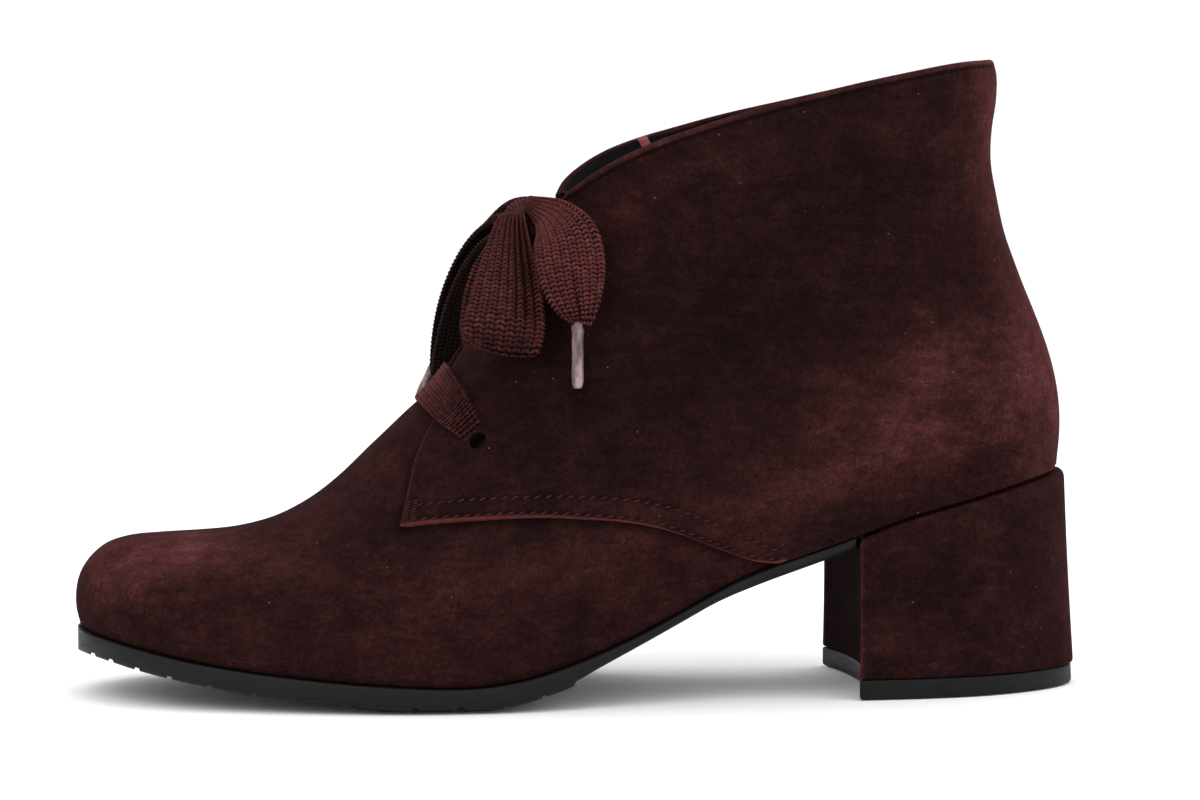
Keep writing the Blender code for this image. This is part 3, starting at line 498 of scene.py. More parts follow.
# the brushed nap: lighter and darker patches
NAP = [  # side, x, z, half-length, half-height, turn in degrees, amount
    ("lat", -112.0, 31.0, 12.0, 8.0, 0.0, 0.31), ("lat", -96.0, 36.5, 17.0, 4.5, 4.0, 0.40),
    ("lat", -104.0, 30.0, 9.0, 3.0, 20.0, 0.16), ("lat", -82.0, 33.0, 14.0, 5.0, -8.0, 0.14),
    ("lat", -88.0, 21.0, 18.0, 7.0, -6.0, 0.09), ("lat", -66.0, 40.5, 9.0, 5.0, 42.0, 0.24),
    ("lat", -54.0, 53.0, 9.0, 4.0, 44.0, 0.12), ("lat", -60.0, 30.0, 15.0, 6.0, 10.0, 0.12),
    ("lat", -60.0, 16.0, 18.0, 5.0, 0.0, 0.08), ("lat", -18.0, 31.0, 26.0, 7.0, 10.0, 0.22),
    ("lat", 6.0, 36.0, 14.0, 5.0, 22.0, 0.04), ("lat", -24.0, 16.0, 34.0, 7.0, 4.0, 0.08),
    ("lat", 44.0, 46.0, 28.0, 12.0, 4.0, 0.15), ("lat", 62.0, 54.0, 22.0, 6.0, 16.0, 0.24),
    ("lat", 70.0, 68.0, 25.0, 12.0, 14.0, 0.32), ("lat", 82.0, 84.0, 16.0, 9.0, 38.0, 0.16),
    ("lat", 106.0, 74.0, 15.0, 17.0, 0.0, 0.26), ("lat", 101.0, 132.0, 4.0, 13.0, 5.0, 0.10),
    ("lat", 80.0, 62.0, 20.0, 7.0, 15.0, 0.10), ("lat", 24.0, 92.0, 20.0, 16.0, 30.0, -0.07),
    ("lat", 52.0, 104.0, 18.0, 13.0, 0.0, -0.05), ("lat", 12.0, 112.0, 14.0, 8.0, 55.0, 0.10),
    ("lat", 6.0, 121.0, 9.0, 6.0, 45.0, 0.10), ("lat", 36.0, 130.0, 20.0, 7.0, 16.0, 0.10),
    ("lat", 72.0, 140.0, 18.0, 8.0, 12.0, 0.08), ("lat", 62.0, 124.0, 18.0, 7.0, 10.0, -0.02),
    ("lat", -30.0, 52.0, 12.0, 5.0, 20.0, 0.10), ("lat", 14.0, 62.0, 18.0, 7.0, -10.0, 0.06),
    ("lat", 5.0, 48.5, 32.0, 5.5, 0.0, 0.11), ("lat", 30.0, 40.0, 13.0, 6.5, -20.0, 0.14),
    ("lat", -95.0, 38.0, 9.0, 3.0, 4.0, 0.10), ("lat", -93.0, 27.0, 9.0, 4.0, 0.0, 0.11),
    ("lat", -24.0, 9.5, 13.0, 3.5, 0.0, 0.10), ("lat", 77.0, 50.5, 8.0, 3.0, 15.0, 0.09),
    ("lat", 39.0, 35.0, 9.0, 4.0, 25.0, 0.11), ("lat", 20.0, 22.5, 8.0, 4.0, 25.0, 0.10),
    ("lat", 30.0, 112.0, 18.0, 10.0, 10.0, 0.06), ("lat", 82.0, 78.0, 11.0, 8.0, 10.0, 0.09), ("lat", 0.0, 75.0, 14.0, 9.0, 0.0, -0.04),
    ("med", -112.0, 31.0, 12.0, 8.0, 0.0, 0.18), ("med", -96.0, 36.5, 17.0, 4.5, 4.0, 0.26),
    ("med", -66.0, 40.5, 10.0, 6.0, 42.0, 0.22), ("med", -24.0, 30.0, 26.0, 8.0, 8.0, 0.18),
    ("med", 72.0, 72.0, 26.0, 13.0, 20.0, 0.28), ("med", 44.0, 46.0, 28.0, 12.0, 4.0, 0.12),
    ("med", 30.0, 90.0, 22.0, 16.0, 20.0, -0.08), ("med", 106.0, 76.0, 15.0, 16.0, 0.0, 0.22),
    ("med", 40.0, 128.0, 22.0, 8.0, 16.0, 0.10), ("med", 10.0, 60.0, 18.0, 8.0, -8.0, 0.10),
]
BACK_PAINTED_SHEEN, BACK_PAINTED_SHEEN_REACH = 0.40, 13.0   # painted sheen: the suede is lighter along the back seam
NAP_VAMP, NAP_QUARTER = 0.42, 0.37


def nap_and_back_sheen(side, x, z, base):
    v = np.full(np.shape(x), base)
    for row_side, cx, cz, rx, rz, turn, amount in NAP:
        if row_side != side:
            continue
        c, s = math.cos(math.radians(turn)), math.sin(math.radians(turn))
        u = ((x - cx) * c + (z - cz) * s) / rx
        w = (-(x - cx) * s + (z - cz) * c) / rz
        v = v + amount * np.exp(-(u * u + w * w))
    # painted sheen: lighter along the back seam
    d, _ = nearest(back_line, back_s, x, z)
    return v + BACK_PAINTED_SHEEN * np.exp(-((d / BACK_PAINTED_SHEEN_REACH) ** 2))


# ------------------------------------------------------------------ materials
def linear(rgb):
    out = []
    for c in rgb:
        c = c / 255.0
        out.append(c / 12.92 if c <= 0.04045 else ((c + 0.055) / 1.055) ** 2.4)
    return (out[0], out[1], out[2], 1.0)


class Nodes:
    """Short hand for a material's node tree; texture coordinates are in millimetres."""

    def __init__(self, name):
        self.mat = bpy.data.materials.new(name)
        self.mat.use_nodes = True
        self.tree = self.mat.node_tree
        self.shader = self.tree.nodes["Principled BSDF"]
        where = self.new("ShaderNodeTexCoord")
        self.mm = self.new("ShaderNodeMapping")
        self.mm.inputs["Scale"].default_value = (1000.0, 1000.0, 1000.0)
        self.link(where.outputs["Object"], self.mm.inputs["Vector"])
        MATERIALS[name] = self.mat

    def new(self, kind, **props):
        n = self.tree.nodes.new(kind)
        for k, v in props.items():
            setattr(n, k, v)
        return n

    def link(self, a, b):
        self.tree.links.new(a, b)

    def noise(self, scale, detail=3.0, rough=0.55, stretch=None, warp=0.0):
        n = self.new("ShaderNodeTexNoise")
        n.inputs["Scale"].default_value = scale
        n.inputs["Detail"].default_value = detail
        n.inputs["Roughness"].default_value = rough
        n.inputs["Distortion"].default_value = warp
        src = self.mm.outputs["Vector"]
        if stretch:
            m = self.new("ShaderNodeMapping")
            m.inputs["Scale"].default_value = stretch
            self.link(src, m.inputs["Vector"])
            src = m.outputs["Vector"]
        self.link(src, n.inputs["Vector"])
        return n.outputs["Fac"]

    def maths(self, op, a, b=None, c=None, clamp=False):
        n = self.new("ShaderNodeMath", operation=op, use_clamp=clamp)
        for i, v in enumerate((a, b, c)):
            if v is None:
                continue
            if isinstance(v, (int, float)):
                n.inputs[i].default_value = v
            else:
                self.link(v, n.inputs[i])
        return n.outputs[0]

    def ramp(self, fac, stops):
        n = self.new("ShaderNodeValToRGB")
        r = n.color_ramp
        while len(r.elements) < len(stops):
            r.elements.new(0.5)
        for e, (pos, rgb) in zip(r.elements, stops):
            e.position = pos
            e.color = rgb if len(rgb) == 4 else linear(rgb)
        self.link(fac, n.inputs["Fac"])
        return n.outputs["Color"]

    def mix(self, fac, a, b):
        n = self.new("ShaderNodeMix", data_type="RGBA")
        for key, v in (("Factor", fac), ("A", a), ("B", b)):
            sock = [s for s in n.inputs if s.name == key and s.enabled][0]
            if isinstance(v, (int, float, tuple)):
                sock.default_value = v
            else:
                self.link(v, sock)
        return [s for s in n.outputs if s.enabled][0]

    def scaled(self, colour, amount):
        n = self.new("ShaderNodeVectorMath", operation="SCALE")
        self.link(colour, n.inputs[0])
        self.link(amount, n.inputs["Scale"])
        return n.outputs[0]

    def attribute(self, name):
        n = self.new("ShaderNodeAttribute", attribute_name=name)
        return n.outputs["Fac"]

    def bump(self, height, distance, strength=1.0, after=None):
        n = self.new("ShaderNodeBump")
        n.inputs["Strength"].default_value = strength
        n.inputs["Distance"].default_value = distance * MM
        self.link(height, n.inputs["Height"])
        if after is not None:
            self.link(after, n.inputs["Normal"])
        return n.outputs["Normal"]

    def range(self, value, lo, hi, a=0.0, b=1.0):
        n = self.new("ShaderNodeMapRange")
        n.inputs["From Min"].default_value = lo
        n.inputs["From Max"].default_value = hi
        n.inputs["To Min"].default_value = a
        n.inputs["To Max"].default_value = b
        self.link(value, n.inputs["Value"])
        return n.outputs["Result"]

    def set(self, **values):
        for key, v in values.items():
            self.shader.inputs[key.replace("_", " ")].default_value = v


SUEDE_STOPS = [
    (0.00, (14, 6, 6)), (0.20, (20, 9, 9)), (0.36, (27, 13, 13)), (0.50, (35, 17, 17)), (0.65, (46, 23, 23)),
    (0.82, (61, 31, 32)), (1.00, (80, 42, 44)),
]
TAB_STOPS = [(0.30, (92, 46, 48)), (0.60, (128, 68, 70)), (0.90, (164, 98, 100))]


def suede(name, stops):
    k = Nodes(name)
    big = k.noise(0.040, 3.0, 0.55, warp=0.6)
    mid = k.noise(0.13, 4.0, 0.60, warp=0.4)
    brushed = k.noise(0.30, 3.0, 0.6, stretch=(0.5, 1.0, 1.6), warp=0.5)
    small = k.noise(0.70, 4.0, 0.62)
    grain = k.noise(1.9, 2.0, 0.6)
    fibre = k.noise(4.2, 3.0, 0.7)
    # this attribute holds the suede's nap patches together with painted shade, painted shadow, painted highlight and
    # painted sheen
    v = k.attribute("nap_and_painted_light")
    for source, amount in ((big, 0.44), (mid, 0.50), (brushed, 0.44), (small, 0.48)):
        v = k.maths("MULTIPLY_ADD", k.maths("SUBTRACT", source, 0.5), amount, v)
    speck = k.maths("MULTIPLY_ADD", k.maths("SUBTRACT", grain, 0.5), 1.75, 1.0)
    speck = k.maths("MAXIMUM", k.maths("MULTIPLY_ADD", k.maths("SUBTRACT", fibre, 0.5), 1.60, speck), 0.2)
    colour = k.scaled(k.ramp(v, stops), speck)
    colour = k.mix(k.maths("MULTIPLY", k.attribute("raw"), k.range(small, 0.3, 0.7, 0.55, 1.0)), colour, linear((94, 47, 46)))
    cells = k.new("ShaderNodeTexVoronoi")
    cells.inputs["Scale"].default_value = 0.25
    k.link(k.mm.outputs["Vector"], cells.inputs["Vector"])
    near = k.maths("LESS_THAN", cells.outputs["Distance"], 0.038)
    pick = k.new("ShaderNodeSeparateColor")
    k.link(cells.outputs["Color"], pick.inputs["Color"])
    some = k.maths("GREATER_THAN", pick.outputs[0], 0.5)
    colour = k.mix(k.maths("MULTIPLY", k.maths("MULTIPLY", near, some), 0.8), colour, linear((128, 100, 98)))
    k.link(colour, k.shader.inputs["Base Color"])
    k.link(k.range(small, 0.3, 0.7, 0.86, 0.98), k.shader.inputs["Roughness"])
    k.set(Specular_IOR_Level=0.02, Sheen_Weight=0.025, Sheen_Roughness=0.45, Sheen_Tint=linear((210, 95, 98)))
    n = k.bump(fibre, 0.14, 0.60)
    n = k.bump(grain, 0.18, 0.50, n)
    n = k.bump(small, 0.30, 0.45, n)
    k.link(n, k.shader.inputs["Normal"])
    return k.mat


suede("suede", SUEDE_STOPS)
suede("suede_tab", TAB_STOPS)


def lining_material():
    k = Nodes("lining")
    weave = k.new("ShaderNodeTexWave", wave_type="BANDS", bands_direction="DIAGONAL")
    weave.inputs["Scale"].default_value = 0.9
    weave.inputs["Distortion"].default_value = 1.2
    weave.inputs["Detail"].default_value = 1.0
    k.link(k.mm.outputs["Vector"], weave.inputs["Vector"])
    soft = k.noise(0.12, 3.0)
    fine = k.noise(2.6, 2.0)
    colour = k.ramp(k.maths("MULTIPLY_ADD", fine, 0.4, k.maths("MULTIPLY", soft, 0.6)), [(0.25, (3, 3, 3)), (0.55, (6, 6, 6)), (0.85, (11, 11, 11))])
    k.link(colour, k.shader.inputs["Base Color"])
    k.link(k.range(fine, 0.3, 0.7, 0.80, 0.95), k.shader.inputs["Roughness"])
    k.set(Specular_IOR_Level=0.12)
    n = k.bump(weave.outputs["Fac"], 0.12, 0.5)
    k.link(k.bump(fine, 0.1, 0.5, n), k.shader.inputs["Normal"])


def insole_material():
    k = Nodes("insole")
    pores = k.new("ShaderNodeTexVoronoi")
    pores.inputs["Scale"].default_value = 1.3
    k.link(k.mm.outputs["Vector"], pores.inputs["Vector"])
    soft = k.noise(0.06, 4.0)
    colour = k.ramp(soft, [(0.25, (20, 18, 18)), (0.6, (33, 29, 29)), (0.9, (46, 40, 39))])
    k.link(colour, k.shader.inputs["Base Color"])
    k.link(k.range(soft, 0.3, 0.7, 0.42, 0.6), k.shader.inputs["Roughness"])
    k.set(Specular_IOR_Level=0.4)
    k.link(k.bump(pores.outputs["Distance"], 0.1, 0.6), k.shader.inputs["Normal"])


def rubber_material(name, dark, light):
    k = Nodes(name)
    soft = k.noise(0.10, 4.0, 0.6)
    fine = k.noise(4.5, 3.0, 0.6)
    scuff = k.noise(0.5, 5.0, 0.7, stretch=(0.35, 0.35, 2.4))
    v = k.maths("MULTIPLY_ADD", k.range(scuff, 0.55, 0.8), 0.35, k.maths("MULTIPLY", soft, 0.7))
    k.link(k.ramp(v, [(0.2, dark), (0.55, tuple(0.5 * (a + b) for a, b in zip(dark, light))), (0.95, light)]), k.shader.inputs["Base Color"])
    k.link(k.range(scuff, 0.35, 0.75, 0.46, 0.68), k.shader.inputs["Roughness"])
    k.set(Specular_IOR_Level=0.16)
    n = k.bump(fine, 0.05, 0.6)
    k.link(k.bump(scuff, 0.06, 0.5, n), k.shader.inputs["Normal"])


def yarn_material(name, stops):
    k = Nodes(name)
    big = k.noise(0.09, 2.0)
    mid = k.noise(0.8, 2.0)
    fine = k.noise(5.0, 3.0, 0.7)
    v = k.maths("MULTIPLY_ADD", fine, 0.45, k.maths("MULTIPLY_ADD", mid, 0.30, k.maths("MULTIPLY", big, 0.30)))
    v = k.maths("ADD", v, k.attribute("tone"))
    k.link(k.ramp(v, stops), k.shader.inputs["Base Color"])
    k.link(k.range(fine, 0.3, 0.7, 0.62, 0.85), k.shader.inputs["Roughness"])
    k.set(Specular_IOR_Level=0.05, Sheen_Weight=0.02, Sheen_Roughness=0.4, Sheen_Tint=linear((210, 95, 95)))
    k.link(k.bump(fine, 0.10, 0.6), k.shader.inputs["Normal"])


def tip_material():
    k = Nodes("tip")
    cloud = k.noise(0.5, 3.0, stretch=(1.0, 1.0, 0.35))
    fine = k.noise(3.0, 2.0)
    k.link(k.ramp(cloud, [(0.34, (46, 30, 32)), (0.50, (92, 69, 72)), (0.66, (146, 120, 123))]), k.shader.inputs["Base Color"])
    k.link(k.range(fine, 0.3, 0.7, 0.22, 0.36), k.shader.inputs["Roughness"])
    k.set(Specular_IOR_Level=0.55, Coat_Weight=0.35, Coat_Roughness=0.15)
    k.link(k.bump(cloud, 0.08, 0.4), k.shader.inputs["Normal"])


lining_material()
insole_material()
rubber_material("rubber", (14, 13, 13), (30, 29, 29))
rubber_material("rubber_heel", (9, 9, 9), (23, 22, 23))
yarn_material("lace", [(0.05, (8, 4, 4)), (0.28, (38, 18, 18)), (0.52, (62, 30, 30)), (0.75, (84, 42, 42)), (1.0, (112, 58, 58))])
# the ribbon's core is darker than its yarn: painted shade in the gaps between the stitches
yarn_material("lace_core_painted_shade", [(0.30, (16, 8, 8)), (0.55, (24, 12, 12)), (0.80, (34, 17, 17))])
# darker yarn: painted shade on the faces of the far loop turned to the boot
yarn_material("lace_painted_shade", [(0.30, (14, 8, 8)), (0.52, (20, 11, 11)), (0.75, (28, 15, 15))])
yarn_material("thread", [(0.30, (38, 19, 19)), (0.55, (56, 29, 29)), (0.80, (78, 44, 44))])
yarn_material("thread_dark", [(0.30, (9, 5, 5)), (0.55, (14, 7, 7)), (0.80, (22, 11, 11))])
tip_material()

# ------------------------------------------------------------------ vamp
seam = dense(LOWER_SEAM, 0.4)
seam_s = run_length(seam)
edge = dense(FRONT_EDGE, 0.4)


def under_quarter(x, z):
    """How far a point of the side view lies inside the quarter's front and lower edges."""
    over = z - np.interp(x, seam[:, 0], seam[:, 1])
    behind = x - np.interp(z, edge[:, 1], edge[:, 0])
    s = np.minimum(over, behind)
    return np.where(x > seam[-1, 0], 20.0, s)


VAMP_SINK = 0.75
VAMP_END = 177.0
vamp_b = np.concatenate([16.0 * (np.arange(26) / 26.0) ** 1.7, np.linspace(16.0, VAMP_END, 170)])
vamp_start = [0.0, 0.25, 0.55, 0.95, 1.5, 2.2, 3.0]


def vamp_grid(side, count=96):
    rows = []
    for b in vamp_b:
        path = section(side, along(lower, lower_s, b), along(front, front_s, fan_front(b)))
        w = half_width(side, path[:, 0], path[:, 1])
        w[-1] = 0.0
        pts = place(side, path[:, 0], path[:, 1], w)
        s = run_length(pts)
        if s[-1] < 1e-6:
            rows.append(np.repeat(pts[:1], len(vamp_start) + count + 1, axis=0))
            continue
        rows.append(along(pts, s, spaced(s[-1], vamp_start, [0.0], count)))
    p = np.array(rows)
    n = grid_normals(p, side)
    n[0] = unit(np.array([-1.0, 0.0, 0.15]))
    n[:, -1, 1] = 0.0
    n = unit(n)
    dist = np.concatenate([np.zeros((len(p), 1)), np.cumsum(np.linalg.norm(np.diff(p, axis=1), axis=2), axis=1)], axis=1)
    x, z = p[..., 0], p[..., 2]
    h = swell(side, x, z) * ease(dist / 8.0)
    h[:, -1] *= 0.0
    blend = ease((dist[:, -1:] - dist) / 14.0)
    h = h * (0.25 + 0.75 * blend)
    h = h + instep_at(p[:, -1, 0])[:, None] * np.exp(-(((dist[:, -1:] - dist) / 15.0) ** 2))
    h = h - VAMP_SINK * ease((under_quarter(x, z) + 7.0) / 7.0)
    h = h - 0.9 * np.clip(1.0 - dist / 2.2, 0.0, 1.0) ** 2
    h = h * ease(np.arange(len(p))[:, None] / 6.0 + 0.0)
    ridge = h[:, -1].copy()
    return p, n, h, ridge


def build_vamp():
    verts, faces, nap_and_painted_light, start = [], [], [], 0
    grids = {side: vamp_grid(side) for side in ("lat", "med")}
    ridge = 0.5 * (grids["lat"][3] + grids["med"][3])
    for side in ("lat", "med"):
        p, n, h, _ = grids[side]
        h[:, -1] = ridge
        q = p + n * h[..., None]
        q[:, -1] = along(front, front_s, fan_front(vamp_b))[:, [0, 0, 1]] + n[:, -1] * ridge[:, None]
        q[:, -1, 1] = axis_y(p[:, -1, 0])
        if side == "med":
            q[:, -1] = verts[0].reshape(q.shape)[:, -1]
        verts.append(q.reshape(-1, 3))
        faces.append(grid_faces(p.shape[0], p.shape[1], start, flip=side == "med"))
        tone = nap_and_back_sheen(side, p[..., 0], p[..., 2], NAP_VAMP)
        # painted shadow: the vamp is darker just beside the quarter's front and lower edges
        tone = tone - 0.20 * np.exp(-(((under_quarter(p[..., 0], p[..., 2]) + 0.5) / 1.2) ** 2))
        nap_and_painted_light.append(np.ravel(tone))
        start += p.shape[0] * p.shape[1]
    return add_piece("vamp", np.vstack(verts), np.vstack(faces), "suede", ["upper"], {"nap_and_painted_light": np.concatenate(nap_and_painted_light)})


vamp = build_vamp()

# ------------------------------------------------------------------ quarters
LAP = 0.55           # quarter proud of the last
EDGE_R = 0.80        # rounding of its cut edges
FACING_R = 0.95      # rounding of the facings
RIM_R = 1.15         # rounding of the topline

heel_end = np.array([119.7, 54.2])
feather_tail = feather[feather[:, 0] > seam[-1, 0] + 0.5]
q_lower = np.vstack([seam, feather_tail, back[1:]])
q_lower_s = run_length(q_lower)
SEAM_END = seam_s[-1]
Q_FEATHER_END = q_lower_s[len(seam) + len(feather_tail) - 1]


def facing_side(side):
    """Side-view line of the front edge and the facing, and the share of the topline at its upper corner."""
    rows = [tuple(r) for r in FRONT_EDGE]
    for s in np.linspace(front_at(FACING_FROM_X), FRONT_END - 2.4, 25):
        p = on_ridge(side, s, float(throat_gap(s - THROAT_BASE)))
        rows.append((p[0], p[2]))
    h = np.linspace(0.9, 1.0, 600)
    line = topline_path(side, h)
    wide = half_width(side, line[:, 0], line[:, 1]) >= float(throat_gap(FRONT_END - THROAT_BASE))
    i = np.nonzero(wide)[0][-1]
    rows.append(tuple(line[i]))
    return dense(rows, 0.4), float(h[i])


def stitch_rows(side):
    """Side-view lines of the stitch rows on one quarter."""
    d = unit(np.gradient(seam, axis=0))
    first = seam + np.stack([-d[:, 1], d[:, 0]], axis=1) * 1.1
    keep = (first[:, 0] > -42.6) & (first[:, 0] < 45.5)
    top = topline_path(side, np.linspace(0.015, 0.975, 300), 1.65)
    return [first[keep], dense(SECOND_ROW, 0.4), top]


def build_quarter(side, rings, count):
    upper_line, reach = facing_side(side)
    upper_s = run_length(upper_line)
    scale = np.array([[q_lower_s[-1] / QUARTER_FAN[-1][0], upper_s[-1] / QUARTER_FAN[-1][1]]])
    fan = dense(np.array(QUARTER_FAN) * scale, 0.5)
    close = np.array([0.0, 0.3, 0.6, 0.9, 1.25, 1.6, 2.0, 2.5, 3.1, 3.9, 4.9, 6.2, 7.8])
    total = q_lower_s[-1]
    b_list = np.concatenate([12.0 * (np.arange(1, 20) / 20.0) ** 1.3, np.linspace(12.0, total - 9.4, rings), total - close[::-1]])
    lo_steps = np.concatenate([np.arange(0.0, 7.0, 0.3), np.array([7.4, 8.0, 8.8])])
    hi_steps = np.array([0.0, 0.3, 0.65, 1.1, 1.7, 2.4, 3.2, 4.2])
    rows, dist = [], []
    for b in b_list:
        base = along(q_lower, q_lower_s, b)
        u = min(float(np.interp(b, fan[:, 0], fan[:, 1])), upper_s[-1])
        top = along(upper_line, upper_s, u)
        lift = float(ease((b - Q_FEATHER_END) / (total - Q_FEATHER_END))) if b > Q_FEATHER_END else 0.0
        path = section(side, base, top, lift, 0.0, reach)
        path[:, 1] -= RIM_R * 1.0 * float(ease((b - total + 14.0) / 14.0))
        w = half_width(side, path[:, 0], path[:, 1])
        pts = place(side, path[:, 0], path[:, 1], w)
        if b > Q_FEATHER_END - 1e-6:
            pts[0, 1] = axis_y(pts[0, 0])
        s = run_length(pts)
        trim_lo = EDGE_R * (1.0 - float(ease((b - Q_FEATHER_END + 8.0) / 7.0)))
        trim_hi = EDGE_R + (FACING_R - EDGE_R) * float(ease((u - 40.0) / 12.0))
        length = s[-1]
        trim_lo, trim_hi = min(trim_lo, 0.3 * length), min(trim_hi, 0.3 * length)
        d = trim_lo + spaced(length - trim_lo - trim_hi, lo_steps, hi_steps, count)
        rows.append(along(pts, s, d))
        dist.append((d, length, trim_lo, trim_hi, b, u))
    p = np.array(rows)
    n = grid_normals(p, side)
    joined = np.array([r[4] > Q_FEATHER_END - 1e-6 for r in dist])
    n[joined, 0, 1] = 0.0
    n = unit(n)
    # the back turns evenly from one quarter to the other
    along_back = joined & (p[:, 0, 2] > 75.0)
    middle = unit(n[along_back, 9] * np.array([1.0, 0.0, 1.0]))
    for k in range(9):
        n[along_back, k] = unit(middle + (n[along_back, 9] - middle) * (k / 9.0))
    x, z = p[..., 0], p[..., 2]
    h = LAP + swell(side, x, z) * ease((np.array([r[0] for r in dist])) / 5.0) - drawn_in(x, z)
    # grooves of the stitch rows and of the back seam
    for row, line in enumerate(stitch_rows(side)):
        d, _ = nearest(line, run_length(line), x, z)
        h = h - (0.20 if row < 2 else 0.22) * np.exp(-((d / (0.55 if row < 2 else 0.45)) ** 2))
    from_back = np.where(x > 80.0, np.abs(p[..., 1] - axis_y(x)), 60.0)
    h = h - 0.42 * np.exp(-((from_back / 0.9) ** 2)) + 0.18 * np.exp(-(((from_back - 3.0) / 2.2) ** 2))
    base_q = p + n * h[..., None]
    nap_and_painted_light = nap_and_back_sheen(side, x, z, NAP_QUARTER)
    # painted shade: the suede is darker in the grooves of the stitch rows, most at the topline row
    for row, line in enumerate(stitch_rows(side)):
        d, _ = nearest(line, run_length(line), x, z)
        nap_and_painted_light = nap_and_painted_light - (0.14 if row < 2 else 0.26) * np.exp(-((d / (0.6 if row < 2 else 0.42)) ** 2))
    line = topline_path(side, np.linspace(0.0, 1.0, 300))
    d, _ = nearest(line, run_length(line), x, z)
    # painted sheen: the suede is lighter along the rolled edge of the topline
    nap_and_painted_light = nap_and_painted_light + 0.22 * ease((1.45 - d) / 0.4)   # rolled edge of the topline
    # rounded borders: lower edge, upper edge, then the rim at the topline
    tl = p[:, 0] - p[:, 1]
    tu = p[:, -1] - p[:, -2]
    tl = unit(tl - n[:, 0] * (tl * n[:, 0]).sum(1, keepdims=True))
    tu = unit(tu - n[:, -1] * (tu * n[:, -1]).sum(1, keepdims=True))
    r_lo = np.array([r[2] for r in dist])[:, None]
    r_hi = np.array([r[3] for r in dist])[:, None]
    over = np.array([float(ease((r[5] - 40.0) / 12.0)) for r in dist])[:, None]
    left, right = [], []
    for a in np.radians([155.0, 120.0, 90.0, 62.0, 38.0, 18.0]):
        left.append(p[:, 0] + n[:, 0] * (h[:, :1] - r_lo + r_lo * math.cos(a)) + tl * r_lo * math.sin(a))
    for a in (18.0, 38.0, 62.0, 90.0, 120.0, 150.0, 180.0):
        turn = np.radians(np.minimum(a, 155.0 + 25.0 * over))
        right.append(p[:, -1] + n[:, -1] * (h[:, -1:] - r_hi + r_hi * np.cos(turn)) + tu * r_hi * np.sin(turn))
    grid = np.concatenate([np.stack(left, 1), base_q, np.stack(right, 1)], axis=1)
    cols_n = np.concatenate([np.repeat(n[:, :1], 6, 1), n, np.repeat(n[:, -1:], 7, 1)], axis=1)
    # painted sheen: the rounded lower and front edges are lighter
    nap_and_painted_light = np.concatenate([np.repeat(nap_and_painted_light[:, :1] + 0.10, 6, 1), nap_and_painted_light, np.repeat(nap_and_painted_light[:, -1:] + 0.06, 7, 1)], axis=1)
    raw = np.zeros(nap_and_painted_light.shape)   # cut edges of the lower seam and of the front
    b_at, u_at = np.array([r[4] for r in dist])[:, None], np.array([r[5] for r in dist])[:, None]
    on_seam = (b_at < SEAM_END + 2.0) * (0.75 + 0.25 * ease((b_at - 50.0) / 25.0))
    on_front = 0.34 * ease((44.0 - u_at) / 6.0)
    raw[:, :6] = np.array([0.35, 0.6, 0.9, 1.0, 1.0, 1.0]) * on_seam
    raw[:, -7:] = np.array([1.0, 1.0, 1.0, 0.8, 0.5, 0.3, 0.2]) * on_front
    inside = np.array([r[0] - r[2] for r in dist])
    outside = np.array([r[1] - r[3] - r[0] for r in dist])
    raw[:, 6:-7] = np.maximum(0.9 * np.exp(-((inside / 0.45) ** 2)) * on_seam, 0.7 * np.exp(-((outside / 0.35) ** 2)) * on_front)
    # the rim stands square to the topline
    last_n = cols_n[-1]
    run = np.gradient(grid[-1][6:], axis=0)
    run = np.concatenate([np.repeat(run[:1], 6, axis=0), run])
    up = unit(np.cross(run, last_n))
    away = grid[-1] - grid[-2]
    up = up * np.where((up * away).sum(1, keepdims=True) < 0.0, -1.0, 1.0)
    up[:7, 1] = 0.0
    up = unit(up - last_n * (up * last_n).sum(1, keepdims=True))
    # painted sheen: the rim over the topline is lighter still
    rim, rim_nap_and_sheen = [], []
    for a in np.radians([16.0, 34.0, 54.0, 74.0, 92.0, 112.0, 134.0, 158.0, 180.0]):
        rim.append(grid[-1] + last_n * RIM_R * (math.cos(a) - 1.0) + up * RIM_R * math.sin(a))
        rim_nap_and_sheen.append(nap_and_painted_light[-1] + 0.14)
    grid = np.concatenate([grid, np.array(rim)], axis=0)
    nap_and_painted_light = np.concatenate([nap_and_painted_light, np.array(rim_nap_and_sheen)], axis=0)
    raw = np.concatenate([raw, np.zeros((len(rim), raw.shape[1]))], axis=0)
    name = "quarter_lateral" if side == "lat" else "quarter_medial"
    v, f, first = weld(grid.reshape(-1, 3), grid_faces(grid.shape[0], grid.shape[1], 0, flip=side == "med"))
    return add_piece(name, v, f, "suede", ["upper"], {"nap_and_painted_light": np.ravel(nap_and_painted_light)[first], "raw": np.ravel(raw)[first]}, welded=False)


quarters = {"lat": build_quarter("lat", 210, 130), "med": build_quarter("med", 150, 90)}


# ------------------------------------------------------------------ eyelets
def eyelet_frame(label, side):
    ridge_x, apart = EYELETS[label]
    p = on_ridge(side, front_at(ridge_x), apart)
    return p, outward(side, p[0], p[2])


